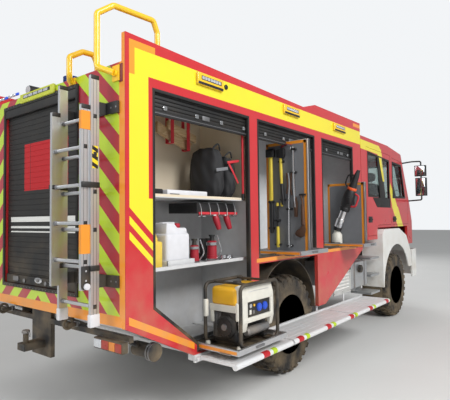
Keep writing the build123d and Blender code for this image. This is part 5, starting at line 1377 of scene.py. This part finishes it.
# %% Dress the four doors
crew_window = [(4.985, 2.125), (5.44, 2.125), (5.5, 1.965), (6.01, 1.965), (6.01, 2.79),
               (4.985, 2.845)]
front_window = [(6.185, 2.135), (6.9, 2.15), (6.69, 2.765), (6.185, 2.785)]
for tag, way in (("right", 1), ("left", -1)):
    for door, window, handle_y in (("crew", crew_window, 4.965), ("front", front_window, 6.165)):
        dressing = Form(f"door_{door}_{tag}_trim")
        panel_back = way * 1.1868
        add_band(dressing, "x", moved_outline(window, -0.014), 0.036, way * 1.188, way * 1.2035,
                 black_plastic, 0.003)
        dish = [(handle_y, 1.69), (handle_y + 0.17, 1.69), (handle_y + 0.17, 1.79), (handle_y, 1.79)]
        dressing.plate("x", dish, way * 1.196, way * 1.203, engine_black, 0.002)
        dressing.block((way * 1.204, handle_y + 0.012, 1.728), (way * 1.22, handle_y + 0.158, 1.754),
                       black_plastic, 0.007, 3)
        for y in (handle_y + 0.02, handle_y + 0.138):
            dressing.block((way * 1.201, y, 1.732), (way * 1.212, y + 0.014, 1.75), black_plastic, 0.003)
        if door == "crew":
            step_panel = [(5.17, 2.105), (5.37, 1.945), (6.045, 1.945), (6.045, 2.112)]
            dressing.plate("x", step_panel, panel_back, way * 1.203, black_plastic)
            pillar_panel = [(5.53, 2.11), (5.8, 2.11), (5.61, 2.8), (5.42, 2.812)]
            dressing.plate("x", pillar_panel, panel_back, way * 1.2026, black_plastic)
            pillar_stripe = [(5.672, 2.4), (5.752, 2.4), (5.64, 2.8), (5.5, 2.806)]
            dressing.plate("x", pillar_stripe, way * 1.2, way * 1.2036, cab_paint, 0.0008)
        else:
            corner_panel = [(6.19, 2.145), (6.372, 2.145), (6.19, 2.42)]
            dressing.plate("x", corner_panel, panel_back, way * 1.203, black_plastic)
        dressing.make(f"door_{door}_{tag}", "black_plastic")

# %% [markdown]
# ## The cab's front
# Below the windscreen the cab has a black slatted grille, and above it a dark visor with small lamps. Two
# wipers rest along the foot of the glass. The head lamps are round bright reflectors, each with a lens in
# its middle. The bumper between them has a black slatted intake and a blank plate.

# %% Grille, visor, wipers
glass_foot_y, glass_foot_z = 7.35, 2.14
glass_head_y, glass_head_z = 6.99, 2.85
glass_lean = (glass_foot_y - glass_head_y) / (glass_head_z - glass_foot_z)


def on_windscreen(x, z, out=0.012):
    """A point in front of the windscreen."""
    return (x, glass_foot_y - (z - glass_foot_z) * glass_lean + out, z)


face = Form("cab_front_trim")
face.block((-0.8, 7.5, 1.3), (0.8, 7.5125, 1.69), engine_black, 0.006, 3)
for i in range(9):
    z = 1.322 + i * 0.04
    face.block((-0.78, 7.508, z), (0.78, 7.524, z + 0.02), black_plastic, 0.005)
for x in (-0.3, 0.3):
    face.block((x - 0.008, 7.508, 1.31), (x + 0.008, 7.52, 1.68), black_plastic, 0.003)
face.plate("x", [(6.98, 2.868), (7.12, 2.806), (7.132, 2.822), (7.0, 2.94), (6.96, 2.95)], -0.96, 0.96,
           engine_black, 0.004)
for x in (-0.78, -0.3, 0.3, 0.78):
    face.block((x - 0.06, 7.04, 2.89), (x + 0.06, 7.075, 2.915), label_orange if abs(x) > 0.5
               else lamp_lens, 0.006, 3)
for x, lean in ((-0.7, 0.72), (0.05, 0.72)):
    face.pipe([on_windscreen(x, 2.16, 0.02), on_windscreen(x + lean * 0.5, 2.225, 0.026),
               on_windscreen(x + lean, 2.3, 0.02)], 0.008, black_plastic, 0.05, 8)
    face.pipe([on_windscreen(x + lean * 0.35, 2.205, 0.01), on_windscreen(x + lean * 1.25, 2.33, 0.01)],
              0.006, engine_black, 0.02, 6)
    face.rod(on_windscreen(x, 2.16, 0.0), on_windscreen(x, 2.16, 0.03), 0.02, black_plastic)
face.make("cab", "black_plastic")

# %% Head lamps and the bumper's air intake
lamp_z = 0.9
bumper_trim = Form("bumper_trim")
for side_sign in (1, -1):
    for offset, radius in ((-0.07, 0.068), (0.075, 0.056)):
        x = side_sign * (0.93 - offset)
        bumper_trim.turned((x, 7.588, lamp_z), (x, 7.5955, lamp_z),
                           [(0, radius), (0.4, radius), (0.5, radius * 0.9), (1, radius * 0.5)], chrome, 28)
        bumper_trim.turned((x, 7.594, lamp_z), (x, 7.5975, lamp_z), [(0, radius * 0.42), (1, radius * 0.36)],
                           lamp_lens, 20)
bumper_trim.block((-0.545, 7.545, 0.712), (0.545, 7.556, 0.968), engine_black, 0.003)
for i in range(6):
    z = 0.728 + i * 0.04
    bumper_trim.block((-0.54, 7.552, z), (0.54, 7.568, z + 0.014), black_plastic)
bumper_trim.block((-0.26, 7.597, 1.01), (0.26, 7.6004, 1.115), can_white, 0.002)
bumper_trim.make("truck", "black_plastic")

# %% [markdown]
# ## Mirror glass
# Each housing is black moulded plastic, and its glass faces the rear in a thin black edge, with a smear or
# two of dust on it.

# %% Mirror glass, both sides
mirror_glass = Finish("mirror_glass", metallic=1.0)
smear = mirror_glass.ramp(mirror_glass.noise(7.0, 5.0), 0.5, 0.8)
mirror_glass.vary("Base Color", mirror_glass.mix(smear, rgb(206, 214, 220), rgb(170, 174, 176)))
mirror_glass.vary("Roughness", 0.04 + 0.2 * smear)
mirror_trim = Form("mirror_glass")
for way in (1, -1):
    for inner, outer, low, high in ((1.345, 1.52, 2.595, 2.775), (1.355, 1.525, 2.205, 2.53)):
        mirror_trim.block((way * (inner - 0.008), 7.1245, low - 0.008),
                          (way * (outer + 0.008), 7.1305, high + 0.008), engine_black, 0.005, 3)
        mirror_trim.block((way * inner, 7.1225, low), (way * outer, 7.1255, high), mirror_glass, 0.004, 3)
mirror_trim.make("cab", "black_plastic")

# %% [markdown]
# ## Seats and dashboard
# The seats show through the windows. A cushion is thickest in its middle and pulls in between its corners,
# so a rounded box is subdivided and each point is pushed outwards by how near it is to the middle of its
# face.

# %% Seat cloth
seat_cloth = Finish("seat_cloth")
x, y, z = seat_cloth.axes()
threads = abs((x * 220.0 + z * 220.0) % 1.0 - 0.5) + abs((y * 220.0 - z * 220.0) % 1.0 - 0.5)
worn_cloth = seat_cloth.noise(9.0, 5.0)
seat_cloth.vary("Base Color", seat_cloth.mix(worn_cloth, rgb(52, 56, 66), rgb(84, 88, 98)))
seat_cloth.vary("Roughness", 0.82 + 0.1 * worn_cloth)
seat_cloth.relief(threads, 0.0008, 0.5)


def cushion(name, low, high, body, crown=0.018, finish=seat_cloth, waves=0.0):
    """A crowned pad between two corners, y from the rear face."""
    shape = bmesh.new()
    bmesh.ops.create_cube(shape, size=2)
    bmesh.ops.subdivide_edges(shape, edges=shape.edges[:], cuts=9, use_grid_fill=True)
    size = (Vector(high) - Vector(low)) / 2
    middle = (Vector(high) + Vector(low)) / 2 + Vector((0, rear_y, 0))
    for vert in shape.verts:
        u = vert.co.copy()
        squared = Vector((u.x ** 4, u.y ** 4, u.z ** 4))
        roundness = (1 - 0.5 * (squared.y + squared.z) * 0.22, 1 - 0.5 * (squared.x + squared.z) * 0.22,
                     1 - 0.5 * (squared.x + squared.y) * 0.22)
        bulge = [(1 - abs(u[(i + 1) % 3]) ** 2) * (1 - abs(u[(i + 2) % 3]) ** 2) * crown for i in range(3)]
        ripple = waves * (sin(7.3 * u.x + 4.1 * u.z) * sin(6.1 * u.y + 2.7 * u.z + 1.3))
        vert.co = Vector([middle[i] + u[i] * (size[i] - crown) * roundness[i]
                          + (1 if u[i] > 0 else -1) * bulge[i] * abs(u[i]) ** 3 + ripple * u[i]
                          for i in range(3)])
    bmesh.ops.recalc_face_normals(shape, faces=shape.faces[:])
    for one_face in shape.faces:
        one_face.smooth = True
    data = bpy.data.meshes.new(name)
    shape.to_mesh(data)
    shape.free()
    data.materials.append(finish.material)
    made = bpy.data.objects.new(name, data)
    bpy.context.collection.objects.link(made)
    smooth = made.modifiers.new("smooth", "SUBSURF")
    smooth.levels = smooth.render_levels = 1
    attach(made, body)
    return made


# %% Seats, bench and dashboard
for tag, x in (("right", 0.76), ("left", -0.76)):
    cushion(f"seat_{tag}", (x - 0.24, 6.2, 1.7), (x + 0.24, 6.6, 1.905), "cab")
    cushion(f"seat_back_{tag}", (x - 0.24, 6.082, 1.89), (x + 0.24, 6.2, 2.42), "cab")
    cushion(f"head_rest_{tag}", (x - 0.14, 6.09, 2.44), (x + 0.14, 6.195, 2.615), "cab", 0.012)
for i in range(4):
    x = -0.81 + i * 0.54
    cushion(f"bench_seat_{i}", (x - 0.265, 4.88, 1.72), (x + 0.265, 5.288, 1.873), "cab")
    cushion(f"bench_back_{i}", (x - 0.265, 4.762, 1.88), (x + 0.265, 4.878, 2.558), "cab")
inside = Form("cab_fittings")
for x in (-0.76, 0.76):
    inside.block((x - 0.2, 6.16, 1.6275), (x + 0.2, 6.58, 1.705), engine_black, 0.012)
    inside.rod((x - 0.06, 6.142, 2.4), (x - 0.06, 6.142, 2.46), 0.007, chrome, 10)
    inside.rod((x + 0.06, 6.142, 2.4), (x + 0.06, 6.142, 2.46), 0.007, chrome, 10)
inside.block((-1.075, 4.86, 1.4555), (1.075, 5.28, 1.724), cab_trim, 0.02)
inside.block((-1.154, 7.076, 1.762), (1.154, 7.139, 2.058), cab_trim, 0.024, 3)
inside.plate("x", [(7.137, 1.762), (7.278, 1.762), (7.27, 2.03), (7.2, 2.058), (7.137, 2.055)], -1.038,
             1.038, cab_trim, 0.01)
for i in range(5):
    inside.block((-0.55 + i * 0.22, 7.068, 1.9), (-0.4 + i * 0.22, 7.078, 1.98), engine_black, 0.006)
inside.rod((-0.76, 7.088, 1.93), (-0.76, 6.862, 2.062), 0.028, engine_black, 18)
wheel_middle = Vector((-0.76, 6.85, 2.069))
wheel_away = Vector((0, -1, 0.6)).normalized()
wheel_up = Vector((0, 0.6, 1)).normalized()
rim_line = [wheel_middle + Vector((1, 0, 0)) * (0.21 * cos(2 * pi * i / 32))
            + wheel_up * (0.21 * sin(2 * pi * i / 32)) for i in range(33)]
inside.pipe(rim_line, 0.0145, engine_black, 0.001, 10, 1)
for degrees in (0, 180, 270):
    spoke = Vector((1, 0, 0)) * cos(radians(degrees)) + wheel_up * sin(radians(degrees))
    inside.pipe([wheel_middle, wheel_middle + spoke * 0.208], 0.008, engine_black, 0.01, 8, width=0.018)
inside.rod(wheel_middle - wheel_away * 0.012, wheel_middle + wheel_away * 0.018, 0.06, engine_black, 24)
inside.make("cab", "cab_trim", "cab_interior")

# %% [markdown]
# ## Upper shelf of the rear locker
# Above the generator two wooden boards hang in red straps. Beside them on the shelf stand two soft black
# bags with red straps, and a red pole at the opening's edge. A bag is a crowned pad whose skin sags in a
# few broad folds.

# %% Bags, boards and straps
bag_cloth = Finish("bag_cloth")
x, y, z = bag_cloth.axes()
weave = abs((y * 260.0) % 1.0 - 0.5) + abs((z * 260.0) % 1.0 - 0.5)
faded = bag_cloth.noise(8.0, 5.0)
bag_cloth.vary("Base Color", bag_cloth.mix(faded, rgb(24, 24, 26), rgb(48, 48, 50)))
bag_cloth.vary("Roughness", 0.7 + 0.15 * faded)
bag_cloth.relief(weave, 0.0008, 0.4)
for i, (y0, y1, top) in enumerate(((1.195, 1.405, 2.5), (1.398, 1.59, 2.43))):
    cushion(f"bag_{i}", (0.72, y0, lower_shelf + shelf_gap), (1.12, y1, top), "truck", 0.022, bag_cloth,
            0.01)
shelf_load = Form("upper_shelf_load")
shelf_load.plate("x", [(0.77, 2.611), (1.179, 2.474), (1.26, 2.555), (0.77, 2.714)], 0.74, 0.772,
                 board_wood)
shelf_load.plate("x", [(0.88, 2.655), (1.275, 2.56), (1.275, 2.637), (0.88, 2.735)], 0.776, 0.806,
                 board_wood)
for y0, low in ((0.905, 2.52), (1.13, 2.47)):
    shelf_load.block((0.734, y0, low), (0.7375, y0 + 0.045, 2.919), strap_red, 0.001, 1)
    shelf_load.block((0.808, y0, low), (0.8115, y0 + 0.045, 2.919), strap_red, 0.001, 1)
    shelf_load.block((0.734, y0, low - 0.003), (0.8115, y0 + 0.045, low), strap_red, 0.001, 1)
shelf_load.rod((1.17, 1.584, 2.03), (1.17, 1.584, 2.655), 0.014, strap_red)
shelf_load.rod((1.17, 1.584, lower_shelf + shelf_gap), (1.17, 1.584, 2.032), 0.018, engine_black)
shelf_load.pipe([(1.11, 1.405, 2.345), (1.124, 1.45, 2.353), (1.124, 1.58, 2.376)], 0.013, strap_red, 0.03,
                8, width=0.003)
shelf_load.pipe([(1.122, 1.416, 2.331), (1.125, 1.49, 2.24), (1.122, 1.566, 2.144)], 0.012, strap_red, 0.03,
                8, width=0.003)
shelf_load.pipe([(1.122, 1.215, 2.255), (1.125, 1.3, 2.268), (1.122, 1.395, 2.284)], 0.016, board_grey,
                0.03, 8, width=0.003)
for y0 in (1.3, 1.49):
    shelf_load.pipe([(1.05, y0 - 0.06, 2.47 - (y0 > 1.4) * 0.06), (1.08, y0, 2.54 - (y0 > 1.4) * 0.06),
                     (1.05, y0 + 0.06, 2.47 - (y0 > 1.4) * 0.06)], 0.009, bag_cloth, 0.06, 8)
shelf_load.make("truck", "mixed_goods")
